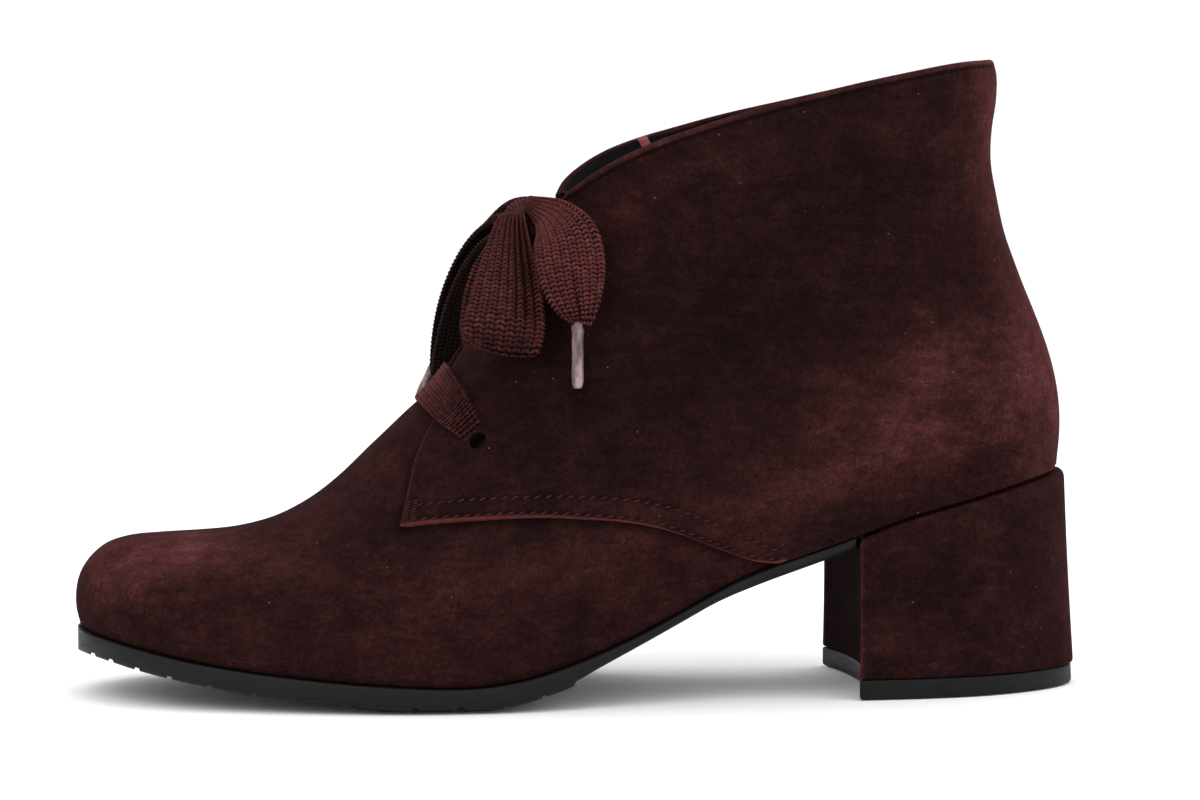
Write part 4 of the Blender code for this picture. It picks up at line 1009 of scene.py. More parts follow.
def pierce(ob, p, n, radius, depth):
    """Open a round hole in a dense panel and turn its edge in."""
    centre = Vector(((p[0] + CENTRE_X) * MM, p[1] * MM, p[2] * MM))
    axis = Vector(n)
    bm = bmesh.new()
    bm.from_mesh(ob.data)
    layer = bm.verts.layers.float.get("nap_and_painted_light")

    def off(co):
        d = co - centre
        h = d.dot(axis)
        return (d - axis * h).length / MM, h / MM

    for _ in range(2):
        near = []
        for e in bm.edges:
            (ra, ha), (rb, hb) = off(e.verts[0].co), off(e.verts[1].co)
            if min(ra, rb) < radius + 1.2 and abs(ha) < 5.0 and e.calc_length() > 0.22 * MM:
                near.append(e)
        bmesh.ops.subdivide_edges(bm, edges=near, cuts=1, use_grid_fill=True)
    gone = []
    for f in bm.faces:
        r, h = off(f.calc_center_median())
        if r < radius and abs(h) < 5.0:
            gone.append(f)
    bmesh.ops.delete(bm, geom=gone, context="FACES")
    loose = [v for v in bm.verts if not v.link_faces]
    bmesh.ops.delete(bm, geom=loose, context="VERTS")
    rim = []
    for e in bm.edges:
        if e.is_boundary:
            (ra, ha), (rb, hb) = off(e.verts[0].co), off(e.verts[1].co)
            if max(ra, rb) < radius + 1.5 and abs(ha) < 5.0:
                rim.append(e)
    for v in {v for e in rim for v in e.verts}:
        d = v.co - centre
        h = d.dot(axis)
        flat = d - axis * h
        v.co = centre + axis * h + flat.normalized() * radius * MM
    edges = rim
    for step, (inset, down) in enumerate(((0.22, 0.10), (0.34, 0.35), (0.34, depth))):
        made = bmesh.ops.extrude_edge_only(bm, edges=edges)["geom"]
        verts = [g for g in made if isinstance(g, bmesh.types.BMVert)]
        edges = [g for g in made if isinstance(g, bmesh.types.BMEdge) and g.is_boundary]
        for v in verts:
            d = v.co - centre
            h = d.dot(axis)
            flat = (d - axis * h).normalized()
            v.co = centre + axis * (h - (down if step == 0 else down - (0.10, 0.35)[step - 1]) * MM) + flat * (radius - inset) * MM
            # painted highlight on the lip of the hole, painted shade down inside it
            if layer is not None:
                v[layer] = 0.62 if step == 0 else 0.2
    bm.normal_update()
    for f in bm.faces:
        f.smooth = True
    bm.to_mesh(ob.data)
    bm.free()


for label in EYELETS:
    for side in ("lat", "med"):
        p, n = eyelet_frame(label, side)
        pierce(quarters[side], p, n, EYELET_D / 2, 2.2)
        if label == "lower":
            pierce(vamp, p, n, EYELET_D / 2 + 0.3, 1.0)


# ------------------------------------------------------------------ stitches
def capsules(points, direction, normal, length, radius, flat=0.8, sides=6):
    """Small rounded rods: centres, directions, surface normals."""
    d, n = unit(direction), unit(normal)
    n = unit(n - d * (n * d).sum(1, keepdims=True))
    l = np.cross(d, n)
    stations = np.array([-0.5, -0.42, -0.2, 0.2, 0.42, 0.5])
    girth = np.array([0.25, 0.75, 1.0, 1.0, 0.75, 0.25])
    sink = np.array([-0.9, -0.35, 0.0, 0.0, -0.35, -0.9])
    angle = np.linspace(0, 2 * math.pi, sides + 1)[:-1]
    ring = (np.cos(angle)[:, None, None] * l[None] + flat * np.sin(angle)[:, None, None] * n[None])
    v = (
        points[None, None] + d[None, None] * (stations[:, None, None, None] * length)
        + ring[None] * (radius * girth[:, None, None, None]) + n[None, None] * (sink[:, None, None, None] * radius)
    )
    v = np.transpose(v, (2, 0, 1, 3))
    count, st = len(points), len(stations)
    one = grid_faces(st, sides, 0, close=True)
    caps = [list(range(sides)), list(range((st - 1) * sides, st * sides))[::-1]]
    faces = []
    for i in range(count):
        o = i * st * sides
        faces += (one + o).tolist()
        faces += [[c + o for c in cap] for cap in caps]
    return v.reshape(-1, 3), faces


def surface_normals(side, x, z):
    e = 0.3
    wx = (half_width(side, x + e, z) - half_width(side, x - e, z)) / (2 * e)
    wz = (half_width(side, x, z + e) - half_width(side, x, z - e)) / (2 * e)
    slope = (axis_y(x + e) - axis_y(x - e)) / (2 * e)
    k = sign_of(side)
    return unit(np.stack([-wx - k * slope, np.full(len(x), k), -wz], axis=1))


STITCH_PITCH = 2.6
STITCH_SLANT = math.radians(24.0)


def build_stitches(side):
    verts, faces, dark, start = [], [], [], 0
    for row, line in enumerate(stitch_rows(side)):
        pts = place(side, line[:, 0], line[:, 1], half_width(side, line[:, 0], line[:, 1]))
        s = run_length(pts)
        at = np.arange(0.5 * STITCH_PITCH, s[-1], STITCH_PITCH)
        c = along(pts, s, at)
        d = unit(along(pts, s, at + 0.4) - along(pts, s, at - 0.4))
        n = surface_normals(side, c[:, 0], c[:, 2])
        sw = (swell(side, c[:, 0], c[:, 2]) - drawn_in(c[:, 0], c[:, 2]))[:, None]
        lift = LAP - (0.10 if row < 2 else 0.16)
        slant = STITCH_SLANT if row < 2 else 0.3 * STITCH_SLANT
        d = d * math.cos(slant) - sign_of(side) * np.cross(n, d) * math.sin(slant)
        v, f = capsules(c + n * (lift + sw), d, n, STITCH_PITCH * (0.68 if row < 2 else 0.86), 0.24 if row < 2 else 0.17)
        dark += [row == 2] * len(f)
        verts.append(v)
        faces += [[i + start for i in g] for g in f]
        start += len(v)
    # bartack at the front corner of the quarter
    tack = np.array([(-43.1 + 0.14 * i, 44.6 + 0.62 * i) for i in range(8)])
    for i in range(2):
        line = tack + np.array([1.5 * i, 0.35 * i])
        w = half_width(side, line[:, 0], line[:, 1])
        c = place(side, line[:, 0], line[:, 1], w)
        n = surface_normals(side, c[:, 0], c[:, 2])
        d = np.repeat(np.array([[1.0, 0.0, 0.22]]), len(c), axis=0)
        v, f = capsules(c + n * (LAP + 0.02), d, n, 1.5, 0.20)
        dark += [False] * len(f)
        verts.append(v)
        faces += [[i + start for i in g] for g in f]
        start += len(v)
    name = "stitches_lateral" if side == "lat" else "stitches_medial"
    ob = add_piece(name, np.vstack(verts), faces, "thread", welded=False)
    ob.data.materials.append(MATERIALS["thread_dark"])
    ob.data.polygons.foreach_set("material_index", np.array(dark, np.int32))
    return ob


for side in ("lat", "med"):
    build_stitches(side)


# ------------------------------------------------------------------ lining, tongue, insole
def build_lining():
    verts, faces, start = [], [], 0
    b_list = np.concatenate([20.0 * (np.arange(10) / 10.0) ** 1.5, np.linspace(20.0, LOWER_END - 1.0, 96), [LOWER_END]])
    for side in ("lat", "med"):
        rows = []
        for b in b_list:
            top = along(front, front_s, fan_front(b))
            lift = float(ease((b - FEATHER_END) / (LOWER_END - FEATHER_END))) if b > FEATHER_END else 0.0
            path = section(side, along(lower, lower_s, b), top, lift, 0.0)
            path[:, 1] -= 0.75 * float(ease((b - LOWER_END + 10.0) / 10.0))
            w = half_width(side, path[:, 0], path[:, 1])
            w[-1] = 0.0
            pts = place(side, path[:, 0], path[:, 1], w)
            gap = float(throat_gap(max(fan_front(b) - THROAT_BASE, 0.0)))
            if gap > 0.05:
                half = len(path) // 2
                gap += 1.2 + 1.6 * float(ease((b - LOWER_END + 34.0) / 30.0))   # the lining stops short of the facing's corner
                stop = half + int(np.argmax(w[half:] < gap))
                pts = pts[: stop + 1]
                pts[-1, 1] = axis_y(pts[-1, 0]) + sign_of(side) * gap
            if b >= FEATHER_END - 1e-6:
                pts[0, 1] = axis_y(pts[0, 0])
            s = run_length(pts)
            rows.append(along(pts, s, np.linspace(0, 1, 60) * s[-1]))
        p = np.array(rows)
        n = grid_normals(p, side)
        beside = np.array([float(throat_gap(max(fan_front(b) - THROAT_BASE, 0.0))) > 4.0 for b in b_list])
        rim = p[beside, -16:]   # along the facings
        n[beside, -16:] = surface_normals(side, np.ravel(rim[..., 0]), np.ravel(rim[..., 2])).reshape(rim.shape)
        n[0] = np.array([-1.0, 0.0, 0.2])
        closed = np.array([float(throat_gap(max(fan_front(b) - THROAT_BASE, 0.0))) <= 0.05 for b in b_list])
        n[closed, -1, 1] = 0.0
        n[b_list >= FEATHER_END - 1e-6, 0, 1] = 0.0
        n = unit(n)
        wave = 0.12 * np.sin(p[..., 0] / 5.3 + p[..., 2] / 7.1) * np.sin(p[..., 2] / 9.7 + 1.0)
        edge_fade = ease(np.arange(60)[None] / 6.0) * ease((59 - np.arange(60))[None] / 6.0)
        q = p - n * (WALL - 0.10 + (wave * edge_fade))[..., None]
        verts.append(q.reshape(-1, 3))
        faces.append(grid_faces(p.shape[0], p.shape[1], start, flip=side == "lat"))
        start += p.shape[0] * p.shape[1]
    return add_piece("lining", np.vstack(verts), np.vstack(faces), "lining", ["upper"])


build_lining()


TAB_X, TAB_LEAN, TAB_WIDE, TAB_LONG = 18.2, 0.9, 2.6, 6.0


def build_tab():
    """Short suede tab on the lining under the medial topline."""
    t = np.linspace(0.0, 1.0, 15)
    across = np.linspace(-1.0, 1.0, 11)
    line = topline_path("med", np.linspace(0.0, 1.0, 400))[::-1]
    rows = []
    for k in t:
        x = TAB_X + TAB_LEAN * TAB_LONG * k * 0.5 + 0.5 * TAB_WIDE * across
        z = np.interp(x, line[:, 0], line[:, 1]) - 0.2 - TAB_LONG * k
        p = place("med", x, z, half_width("med", x, z))
        n = surface_normals("med", x, z)
        rise = 0.55 * np.sqrt(np.clip(1.0 - across**6, 0.0, 1.0)) * np.sqrt(np.clip(1.0 - (2.0 * k - 1.0) ** 8, 0.0, 1.0))
        rows.append(p - n * (WALL - 0.2 + rise)[:, None])
    p = np.array(rows)
    nap_and_painted_light = np.full(p.shape[:2], 0.6)
    return add_piece("collar_tab", p.reshape(-1, 3), grid_faces(p.shape[0], p.shape[1]), "suede_tab", (), {"nap_and_painted_light": nap_and_painted_light})


build_tab()


def build_tongue():
    s_list = np.linspace(front_at(-41.5) - 8.0, FRONT_END - 3.0, 70)
    y_list = 23.0 * np.sin(np.linspace(-math.pi / 2, math.pi / 2, 61))
    skin = np.array([[on_ridge("lat" if y < 0 else "med", s, max(abs(y), 1e-4)) for y in y_list] for s in s_list])
    n = np.cross(np.gradient(skin, axis=0), np.gradient(skin, axis=1))
    n = unit(n)
    if n[35, 30, 2] < 0:
        n = -n
    u = (s_list - s_list[0]) / (s_list[-1] - s_list[0])
    soft = 0.20 * np.sin(u * 19.0)[:, None] * np.cos(y_list / 9.0)[None]
    top_fade = ease((1.0 - u) / 0.05)[:, None]
    side_fade = ease((23.0 - np.abs(y_list)) / 2.0)[None]
    depth_top = WALL + 1.1
    thick = 1.6 * np.sqrt(np.clip(top_fade * side_fade, 0, 1))
    outer = skin - n * (depth_top + 0.8 - 0.5 * thick + soft * top_fade * side_fade)[..., None]
    inner = skin - n * (depth_top + 0.8 + 0.5 * thick + soft * top_fade * side_fade)[..., None]
    rows, cols = skin.shape[:2]
    size = rows * cols
    faces = np.vstack([grid_faces(rows, cols, 0), grid_faces(rows, cols, size, flip=True)])
    loop = [(0, j) for j in range(cols)] + [(i, cols - 1) for i in range(1, rows)]
    loop += [(rows - 1, j) for j in range(cols - 2, -1, -1)] + [(i, 0) for i in range(rows - 2, 0, -1)]
    a = np.array([i * cols + j for i, j in loop])
    b = np.roll(a, -1)
    faces = np.vstack([faces, np.stack([a, b, b + size, a + size], axis=1)[:, ::-1]])
    nap_and_painted_light = np.full(2 * size, NAP_QUARTER)
    return add_piece("tongue_skin", np.vstack([outer.reshape(-1, 3), inner.reshape(-1, 3)]), faces, "suede", ["tongue"], {"nap_and_painted_light": nap_and_painted_light})


build_tongue()


def edge_pair(x):
    x = np.atleast_1d(x)
    z = feather_z(x)
    return axis_y(x) - half_width("lat", x, z), axis_y(x) + half_width("med", x, z)


def build_insole():
    tip = -121.4
    span = WALL + 0.6
    u = 0.5 * (1 - np.cos(np.linspace(0, math.pi, 160)))
    xs = tip + span + (119.7 - tip - 2 * span - 1.0) * u
    ox = tip + (119.7 - tip) * 0.5 * (1 - np.cos(np.linspace(0, math.pi, 500)))
    lat, med = edge_pair(ox)
    outline = np.vstack([np.stack([ox, lat], 1), np.stack([ox, med], 1)])
    la, me = edge_pair(xs)
    rows_top = []
    for i, x in enumerate(xs):
        ends = []
        for edge_at in (la[i], me[i]):
            ys = np.linspace(float(axis_y(x)), edge_at, 120)
            off = np.sqrt(((outline[None, :, 0] - x) ** 2 + (outline[None, :, 1] - ys[:, None]) ** 2).min(axis=1))
            good = np.nonzero(off >= span)[0]
            ends.append(float(ys[good[-1]]) if len(good) else float(ys[0]))
        t = np.sin(np.linspace(-math.pi / 2, math.pi / 2, 41))
        y = 0.5 * (ends[0] + ends[1]) + 0.5 * (ends[1] - ends[0]) * t
        cup = 1.2 * t**4 - 0.5 * (1 - t**2)
        z = feather_z(x) + 2.6 + cup
        rows_top.append(np.stack([np.full(41, x), y, z], axis=1))
    p = np.array(rows_top)
    low = p.copy()
    low[..., 2] = feather_z(p[..., 0]) + 0.2
    rows, cols = p.shape[:2]
    size = rows * cols
    faces = np.vstack([grid_faces(rows, cols, 0), grid_faces(rows, cols, size, flip=True)])
    loop = [(0, j) for j in range(cols)] + [(i, cols - 1) for i in range(1, rows)]
    loop += [(rows - 1, j) for j in range(cols - 2, -1, -1)] + [(i, 0) for i in range(rows - 2, 0, -1)]
    a = np.array([i * cols + j for i, j in loop])
    b = np.roll(a, -1)
    faces = np.vstack([faces, np.stack([a, b, b + size, a + size], axis=1)[:, ::-1]])
    return add_piece("insole_skin", np.vstack([p.reshape(-1, 3), low.reshape(-1, 3)]), faces, "insole", ["insole"])


build_insole()


# ------------------------------------------------------------------ outsole
NOTCHES = [-117.4, -113.0, -106.7, -99.0, -89.6, -79.1, -67.5, -55.4, -41.4, -30.8, -20.0, -11.0]   # grooves across the tread, x
NOTCH_WIDE, NOTCH_DEEP = 1.1, 0.9
under = dense(UNDERSIDE)


def build_outsole():
    tip = -121.4
    base = np.concatenate([tip + 17.4 * np.linspace(0, 1, 30) ** 2.0, np.linspace(-104.0, BREAST_X - 0.6, 150)[1:]])
    marks = []
    for x in NOTCHES:
        marks += [x - 0.5 * NOTCH_WIDE - 0.12, x - 0.5 * NOTCH_WIDE + 0.12, x + 0.5 * NOTCH_WIDE - 0.12, x + 0.5 * NOTCH_WIDE + 0.12]
    marks += [TREAD_END - 0.1, TREAD_END + 0.6]
    xs = np.unique(np.concatenate([base, marks]))
    lat, med = edge_pair(xs)
    sides = []
    for ys, k in ((lat, -1.0), (med, 1.0)):
        pts = np.stack([xs, ys], axis=1)
        d = np.gradient(pts, axis=0)
        n = np.stack([-d[:, 1], d[:, 0]], axis=1)
        n = unit(n) * np.sign(unit(n)[:, 1:2] * k + 1e-12)
        sides.append(pts + n * SOLE_MARGIN)
    rings = []
    for i, x in enumerate(xs):
        (xa, ya), (xb, yb) = sides[0][i], sides[1][i]
        if i == 0:
            xa = xb = tip + 0.3
            ya, yb = float(axis_y(tip)) - 1.2, float(axis_y(tip)) + 1.2
        top = float(feather_z(x)) - CLEAR
        low = float(np.interp(x, under[:, 0], under[:, 1]))
        if x > TREAD_END + 0.3:
            low = max(low, 0.0) + 0.9 * (1 - float(ease((x - TREAD_END - 0.6) / 30.0)))
        low = min(low, top - 2.0)
        cut = 0.0
        for m in NOTCHES:
            if abs(x - m) < 0.5 * NOTCH_WIDE:
                cut = NOTCH_DEEP
        wide = yb - ya
        roll = min(1.0, wide / 12.0)
        lift = 1.5 * roll
        inset = min(3.0, wide * 0.12)
        flat = min(9.0, wide * 0.24)
        r = min(0.45, 0.05 * wide)
        wall = top - low - lift
        prof = [  # inset from the edge, height
            (2.2 * r, top), (r, top - 0.04), (0.35 * r, top - 0.3 * r), (0.0, top - r), (0.0, top - 0.35 * wall), (0.0, low + lift + 0.4 * wall),
            (0.05 * inset, low + lift + 0.18 * wall), (0.16 * inset, low + 1.02 * lift), (0.34 * inset, low + 0.74 * lift + 0.6 * cut),
            (0.62 * inset, low + 0.5 * lift + cut), (inset, low + 0.35 * lift + cut),
            (0.5 * (inset + flat), low + 0.12 * lift + cut), (flat, low + cut), (0.5 * (flat + 0.5 * wide), low + cut),
        ]
        left = [(xa, ya + a, h) for a, h in prof]
        right = [(xb, yb - a, h) for a, h in prof][::-1]
        mid = (0.5 * (xa + xb), 0.5 * (ya + yb), low + cut)
        crown = [(0.5 * (xa + xb), 0.5 * (ya + yb) + wide * t, top) for t in (0.25, 0.0, -0.25)]
        ring = left + [mid] + right + crown
        tail = float(ease((x - (BREAST_X - 8.0)) / 7.4))
        if tail > 0:
            centre = 0.5 * (ya + yb)
            moved = []
            for px, py, pz in ring:
                push = tail * (BREAST_HOLLOW - CLEAR) * (1.0 - ((py - centre) / (0.5 * wide)) ** 2)
                moved.append((px + push, py, pz + float(feather_z(px + push) - feather_z(px))))
            ring = moved
        rings.append(ring)
    p = np.array(rings)
    rows, cols = p.shape[:2]
    faces = grid_faces(rows, cols, 0, close=True).tolist()
    faces.append(list(range(cols)))
    faces.append(list(range((rows - 1) * cols, rows * cols))[::-1])
    ob = add_piece("sole_unit", p.reshape(-1, 3), faces, "rubber", ["outsole"])
    return ob


build_outsole()

# ------------------------------------------------------------------ heel
seat_w, ground_w = column(HEEL_PLAN, 0, 1, 0.02), column(HEEL_PLAN, 0, 2, 0.02)
HEEL_MIDDLE = np.array([95.0, CENTRE_Y])
SEAT_GAP = 1.0        # open groove between the upper and the heel cover


def heel_outline(width_at, back_x, count=90):
    """Plan outline: lateral breast corner, round the back, medial breast corner, hollow breast."""
    u = 1.0 - (1.0 - np.linspace(0, 1, 600)) ** 2.2
    x = BREAST_X + (back_x - BREAST_X) * u
    w = np.array([float(width_at(v)) for v in u])
    lat = np.stack([x, CENTRE_Y - w], axis=1)
    med = np.stack([x, CENTRE_Y + w], axis=1)[::-1]
    rim = np.vstack([lat, med[1:]])
    s = run_length(rim)
    r = 1.1
    ring = along(rim, s, np.concatenate([[r, 1.5 * r], np.linspace(2.4, s[-1] - 2.4, 2 * count), [s[-1] - 1.5 * r, s[-1] - r]]))
    t = np.linspace(1.0, -1.0, 61)
    half = float(width_at(0.0))
    breast = np.stack([BREAST_X + BREAST_HOLLOW * (1.0 - t * t), CENTRE_Y + t * half], axis=1)
    bs = run_length(breast)
    inner = along(breast, bs, np.concatenate([[r, 1.5 * r], np.linspace(2.4, bs[-1] - 2.4, 54), [bs[-1] - 1.5 * r, bs[-1] - r]]))

    def corner(a, b, c):
        out = []
        for k in (0.25, 0.5, 0.75):
            out.append((1 - k) ** 2 * a + 2 * k * (1 - k) * b + k * k * c)
        return np.array(out)

    return np.vstack([ring, corner(ring[-1], rim[-1], inner[0]), inner, corner(inner[-1], rim[0], ring[0])])


def shrink(outline, amount):
    """Outline moved inward."""
    d = np.roll(outline, -1, 0) - np.roll(outline, 1, 0)
    n = unit(np.stack([-d[:, 1], d[:, 0]], axis=1))
    return outline + n * amount


def cover(outline, z_at, swell_up=0.0):
    """Rings that close an end of the heel towards its middle, which may stand up."""
    rings = []
    for k, share in ((0.985, 0.0), (0.94, 0.0), (0.90, 1.0), (0.8, 1.0), (0.5, 1.0), (0.2, 1.0), (0.03, 1.0)):
        o = HEEL_MIDDLE + (outline[:, :2] - HEEL_MIDDLE) * k
        rings.append(np.column_stack([o, z_at(o[:, 0]) + share * swell_up]))
    return rings


def loft(name, levels, mat, nodes, values=None):
    p = np.array(levels)
    rows, cols = p.shape[:2]
    faces = grid_faces(rows, cols, 0, close=True, flip=True).tolist()
    faces.append(list(range(cols)))
    faces.append(list(range((rows - 1) * cols, rows * cols))[::-1])
    return add_piece(name, p.reshape(-1, 3), faces, mat, nodes, values)


def build_heel():
    ground = heel_outline(ground_w, HEEL_BACK_GROUND + 0.45)
    seat = heel_outline(seat_w, HEEL_BACK_SEAT + 0.2)
    inward_sign = 1.0
    if np.abs(shrink(ground, 1.0)[:, 0] - 95).mean() > np.abs(ground[:, 0] - 95).mean():
        inward_sign = -1.0
    levels, nap_and_painted_light = [], []
    rows = [(0.0, 0.7), (0.003, 0.3), (0.010, 0.10), (0.024, 0.0)] + [(v, 0.0) for v in np.linspace(0.05, 0.955, 44)]
    rows += [(0.972, 0.06), (0.984, 0.22), (0.993, 0.5), (1.0, 0.9)]
    for v, inset in rows:
        o = ground + (seat - ground) * v
        # the side keeps a soft hollow between seat and ground
        o = shrink(o, inward_sign * (inset + 0.18 * math.sin(math.pi * v)))
        low = LIFT + 0.12
        top = feather_z(np.minimum(o[:, 0], 119.7)) - SEAT_GAP
        z = low + (top - low) * v
        levels.append(np.column_stack([o, z]))
    levels = cover(levels[0], lambda x: np.full(len(x), LIFT + 0.12))[::-1] + levels
    levels += cover(levels[-1], lambda x: feather_z(np.minimum(x, 119.7)) - SEAT_GAP, SEAT_GAP - 0.2)
    p = np.array(levels)
    x, z = p[..., 0], p[..., 2]
    lat = p[..., 1] < CENTRE_Y
    base = np.where(lat, 0.44, 0.42)
    # painted sheen at the back edge of the heel; a broad lighter patch towards the back; a lighter band just under the
    # seat groove; painted highlight along the breast corners
    base = base + 0.16 * np.exp(-(((x - 123.5) / 4.5) ** 2))
    base = base + 0.10 * np.exp(-(((x - 112.0) / 12.0) ** 2 + ((z - 30.0) / 16.0) ** 2))
    base = base + 0.10 * np.exp(-((z - feather_z(x)) / 1.6) ** 2) + 0.30 * np.exp(-(((x - BREAST_X - 0.5) / 0.6) ** 2)) * (np.abs(p[..., 1] - CENTRE_Y) > 27.0)
    # painted shade: the breast of the heel is darker
    breast = (x < BREAST_X + BREAST_HOLLOW + 0.5) & (np.abs(p[..., 1] - CENTRE_Y) < 27.5)
    base = np.where(breast, 0.22, base)
    loft("heel_cover", levels, "suede", ["heel_block"], {"nap_and_painted_light": base})

    lift_top = heel_outline(ground_w, HEEL_BACK_GROUND - 0.2)
    lift_low = heel_outline(ground_w, HEEL_BACK_GROUND)
    levels = []
    for v, inset in [(0.0, 0.75), (0.02, 0.42), (0.06, 0.18), (0.12, 0.05), (0.2, 0.0), (0.5, 0.0), (0.8, 0.0), (0.9, 0.0), (0.95, 0.10), (0.985, 0.3), (1.0, 0.7)]:
        o = shrink(lift_low + (lift_top - lift_low) * v, inward_sign * inset)
        levels.append(np.column_stack([o, np.full(len(o), LIFT * v)]))
    levels = cover(levels[0], lambda x: np.zeros(len(x)))[::-1] + levels
    levels += cover(levels[-1], lambda x: np.full(len(x), LIFT))
    loft("heel_lift", levels, "rubber_heel", ["heel_top_piece"])


build_heel()


# ------------------------------------------------------------------ braided lace
class Ribbon:
    """Flat braid along a route: centre, half-width, direction across, face normal."""

    def __init__(self, centre, width, across, cup=0.0):
        self.pleats = []   # start and end along the length, place across, half-breadth, depth
        s = run_length(centre)
        n = max(40, int(s[-1] / 0.4))
        self.s = np.linspace(0.0, s[-1], n)
        c = along(centre, s, self.s)
        for _ in range(4):
            c[1:-1] = 0.25 * c[:-2] + 0.5 * c[1:-1] + 0.25 * c[2:]
        self.c = c
        self.w = np.interp(self.s, s, width)
        a = along(across, s, self.s)
        t = unit(np.gradient(c, axis=0))
        a = unit(a - t * (a * t).sum(1, keepdims=True))
        for _ in range(3):
            a[1:-1] = 0.25 * a[:-2] + 0.5 * a[1:-1] + 0.25 * a[2:]
        a = unit(a - t * (a * t).sum(1, keepdims=True))
        self.a, self.n = a, np.cross(t, a)
        self.cup = cup * self.w
        self.full = float(np.max(width))
        self.length = float(self.s[-1])

    def at(self, s, v, h):
        """Points at length s, share v of the half-width and height h over the middle plane."""
        c, a, n = along(self.c, self.s, s), along(self.a, self.s, s), along(self.n, self.s, s)
        w, cup = np.interp(s, self.s, self.w), np.interp(s, self.s, self.cup)
        lift = h + cup * (0.6 - v * v)
        for s0, s1, v0, half, depth in self.pleats:
            lift = lift - depth * ease((s - s0) / 7.0) * ease((s1 - s) / 9.0) * np.exp(-(((v - v0) / half) ** 2))
        return c + a * (0.5 * w * v)[..., None] + n * lift[..., None], n

    def deep(self, s):
        """Depth of the grooves between the ribs as a share of the thickness."""
        return 0.22 + 0.62 * np.clip(self.full / np.interp(s, self.s, self.w) - 1.15, 0.0, 1.0)

    def half_thick(self, s):
        """Half of the thickness: the ribs stand up where the width is gathered."""
        return HALF_THICK * np.minimum((self.full / np.interp(s, self.s, self.w)) ** 0.6, 1.9)


COLUMNS = 8
ROW_PITCH = 1.06
HALF_THICK = 0.70


def rib(frac, deep):
    """Height of a rib from its crest (0) to the groove (1); gathered ribs have deep grooves."""
    return 1.0 - deep * (1.0 - np.cos(0.5 * math.pi * np.clip(frac, 0.0, 1.0)))


def braid(ribbon, faces_shown=(1.0, -1.0), columns=COLUMNS, sides=5, pitch=ROW_PITCH, fuller=1.0):
    """Ribbon core and the stitches of its plait."""
    rows = max(24, int(ribbon.length / 1.1))
    s = np.linspace(0.0, ribbon.length, rows)
    v = np.linspace(-1.0, 1.0, 4 * columns + 1)
    frac = np.abs(((v + 1.0) * 0.5 * columns) % 1.0 - 0.5) * 2.0
    edge_thin = np.sqrt(np.clip(1.0 - np.abs(v) ** 8, 0.0, 1.0))
    ss, vv = np.meshgrid(s, v, indexing="ij")
    high = ribbon.half_thick(ss) * 0.74 * rib(frac[None], ribbon.deep(ss)) * edge_thin[None]
    up, _ = ribbon.at(ss, vv, high)
    down, _ = ribbon.at(ss, vv, -high)
    ring = np.concatenate([up, down[:, ::-1]], axis=1)
    core_faces = grid_faces(rows, ring.shape[1], 0, close=True).tolist()
    core_faces.append(list(range(ring.shape[1])))
    core_faces.append(list(range((rows - 1) * ring.shape[1], rows * ring.shape[1]))[::-1])
    core = (ring.reshape(-1, 3), core_faces)

    k = np.arange(int((ribbon.length - 0.3) / pitch))
    limbs_v, limbs_f, limbs_face, limbs_tone_and_shade, start = [], [], [], [], 0
    share = np.array([0.0, 0.5, 1.0])
    girth = np.array([0.85, 1.0, 0.80])
    dip = np.array([0.03, 0.0, 0.05])
    rise = 0.66 * pitch
    chance = np.random.default_rng(5)
    angle = np.linspace(0, 2 * math.pi, sides + 1)[:-1] + 0.5 * math.pi
    stations = len(share)
    for face in faces_shown:
        for col in range(columns):
            v0 = (col + 0.5) / columns * 2.0 - 1.0
            for way in (-1.0, 1.0):
                off = share
                s0 = k * pitch + chance.uniform(-0.07, 0.07, len(k)) * pitch
                sl = np.clip(s0[:, None] + share[None] * rise, 0.0, ribbon.length)
                vl = v0 + way * off[None] / columns + 0.0 * sl
                h = face * (ribbon.half_thick(sl) * rib(off[None], ribbon.deep(sl)) - dip[None])
                p, n = ribbon.at(sl, vl, h)
                n = n * face
                d = unit(np.gradient(p, axis=1))
                l = np.cross(d, n)
                width = np.interp(sl, ribbon.s, ribbon.w) / columns
                apart = pitch * 0.5 * width / np.hypot(0.5 * width, rise)
                r = (0.57 * fuller * apart)[..., None, None] * girth[None, :, None, None]
                ringp = p[:, :, None] + r * (np.cos(angle)[None, None, :, None] * l[:, :, None] * 0.90 + np.sin(angle)[None, None, :, None] * n[:, :, None] * 0.72)
                cnt = len(k)
                one = grid_faces(stations, sides, 0, close=True)
                idx = (np.arange(cnt) * stations * sides)[:, None, None] + one[None]
                limbs_v.append(ringp.reshape(-1, 3))
                new = (idx.reshape(-1, 4) + start).tolist()
                for cap in (list(range(sides)), list(range((stations - 1) * sides, stations * sides))[::-1]):
                    new += (np.arange(cnt)[:, None] * stations * sides + np.array(cap)[None] + start).tolist()
                limbs_f += new
                limbs_face.append(np.concatenate([np.repeat(n[:, 1, 1], len(one)), n[:, 1, 1], n[:, 1, 1]]))
                # each limb gets a random tone, with painted shade at its ends by the grooves and a painted highlight at
                # its middle
                limb_tone_and_shade = chance.uniform(-0.10, 0.10, cnt)[:, None] + np.array([-0.02, 0.06, -0.08])[None]
                limbs_tone_and_shade.append(np.repeat(limb_tone_and_shade, sides, axis=1).ravel())
                start += cnt * stations * sides
    return core, (np.vstack(limbs_v), limbs_f), np.concatenate(limbs_face), np.concatenate(limbs_tone_and_shade)


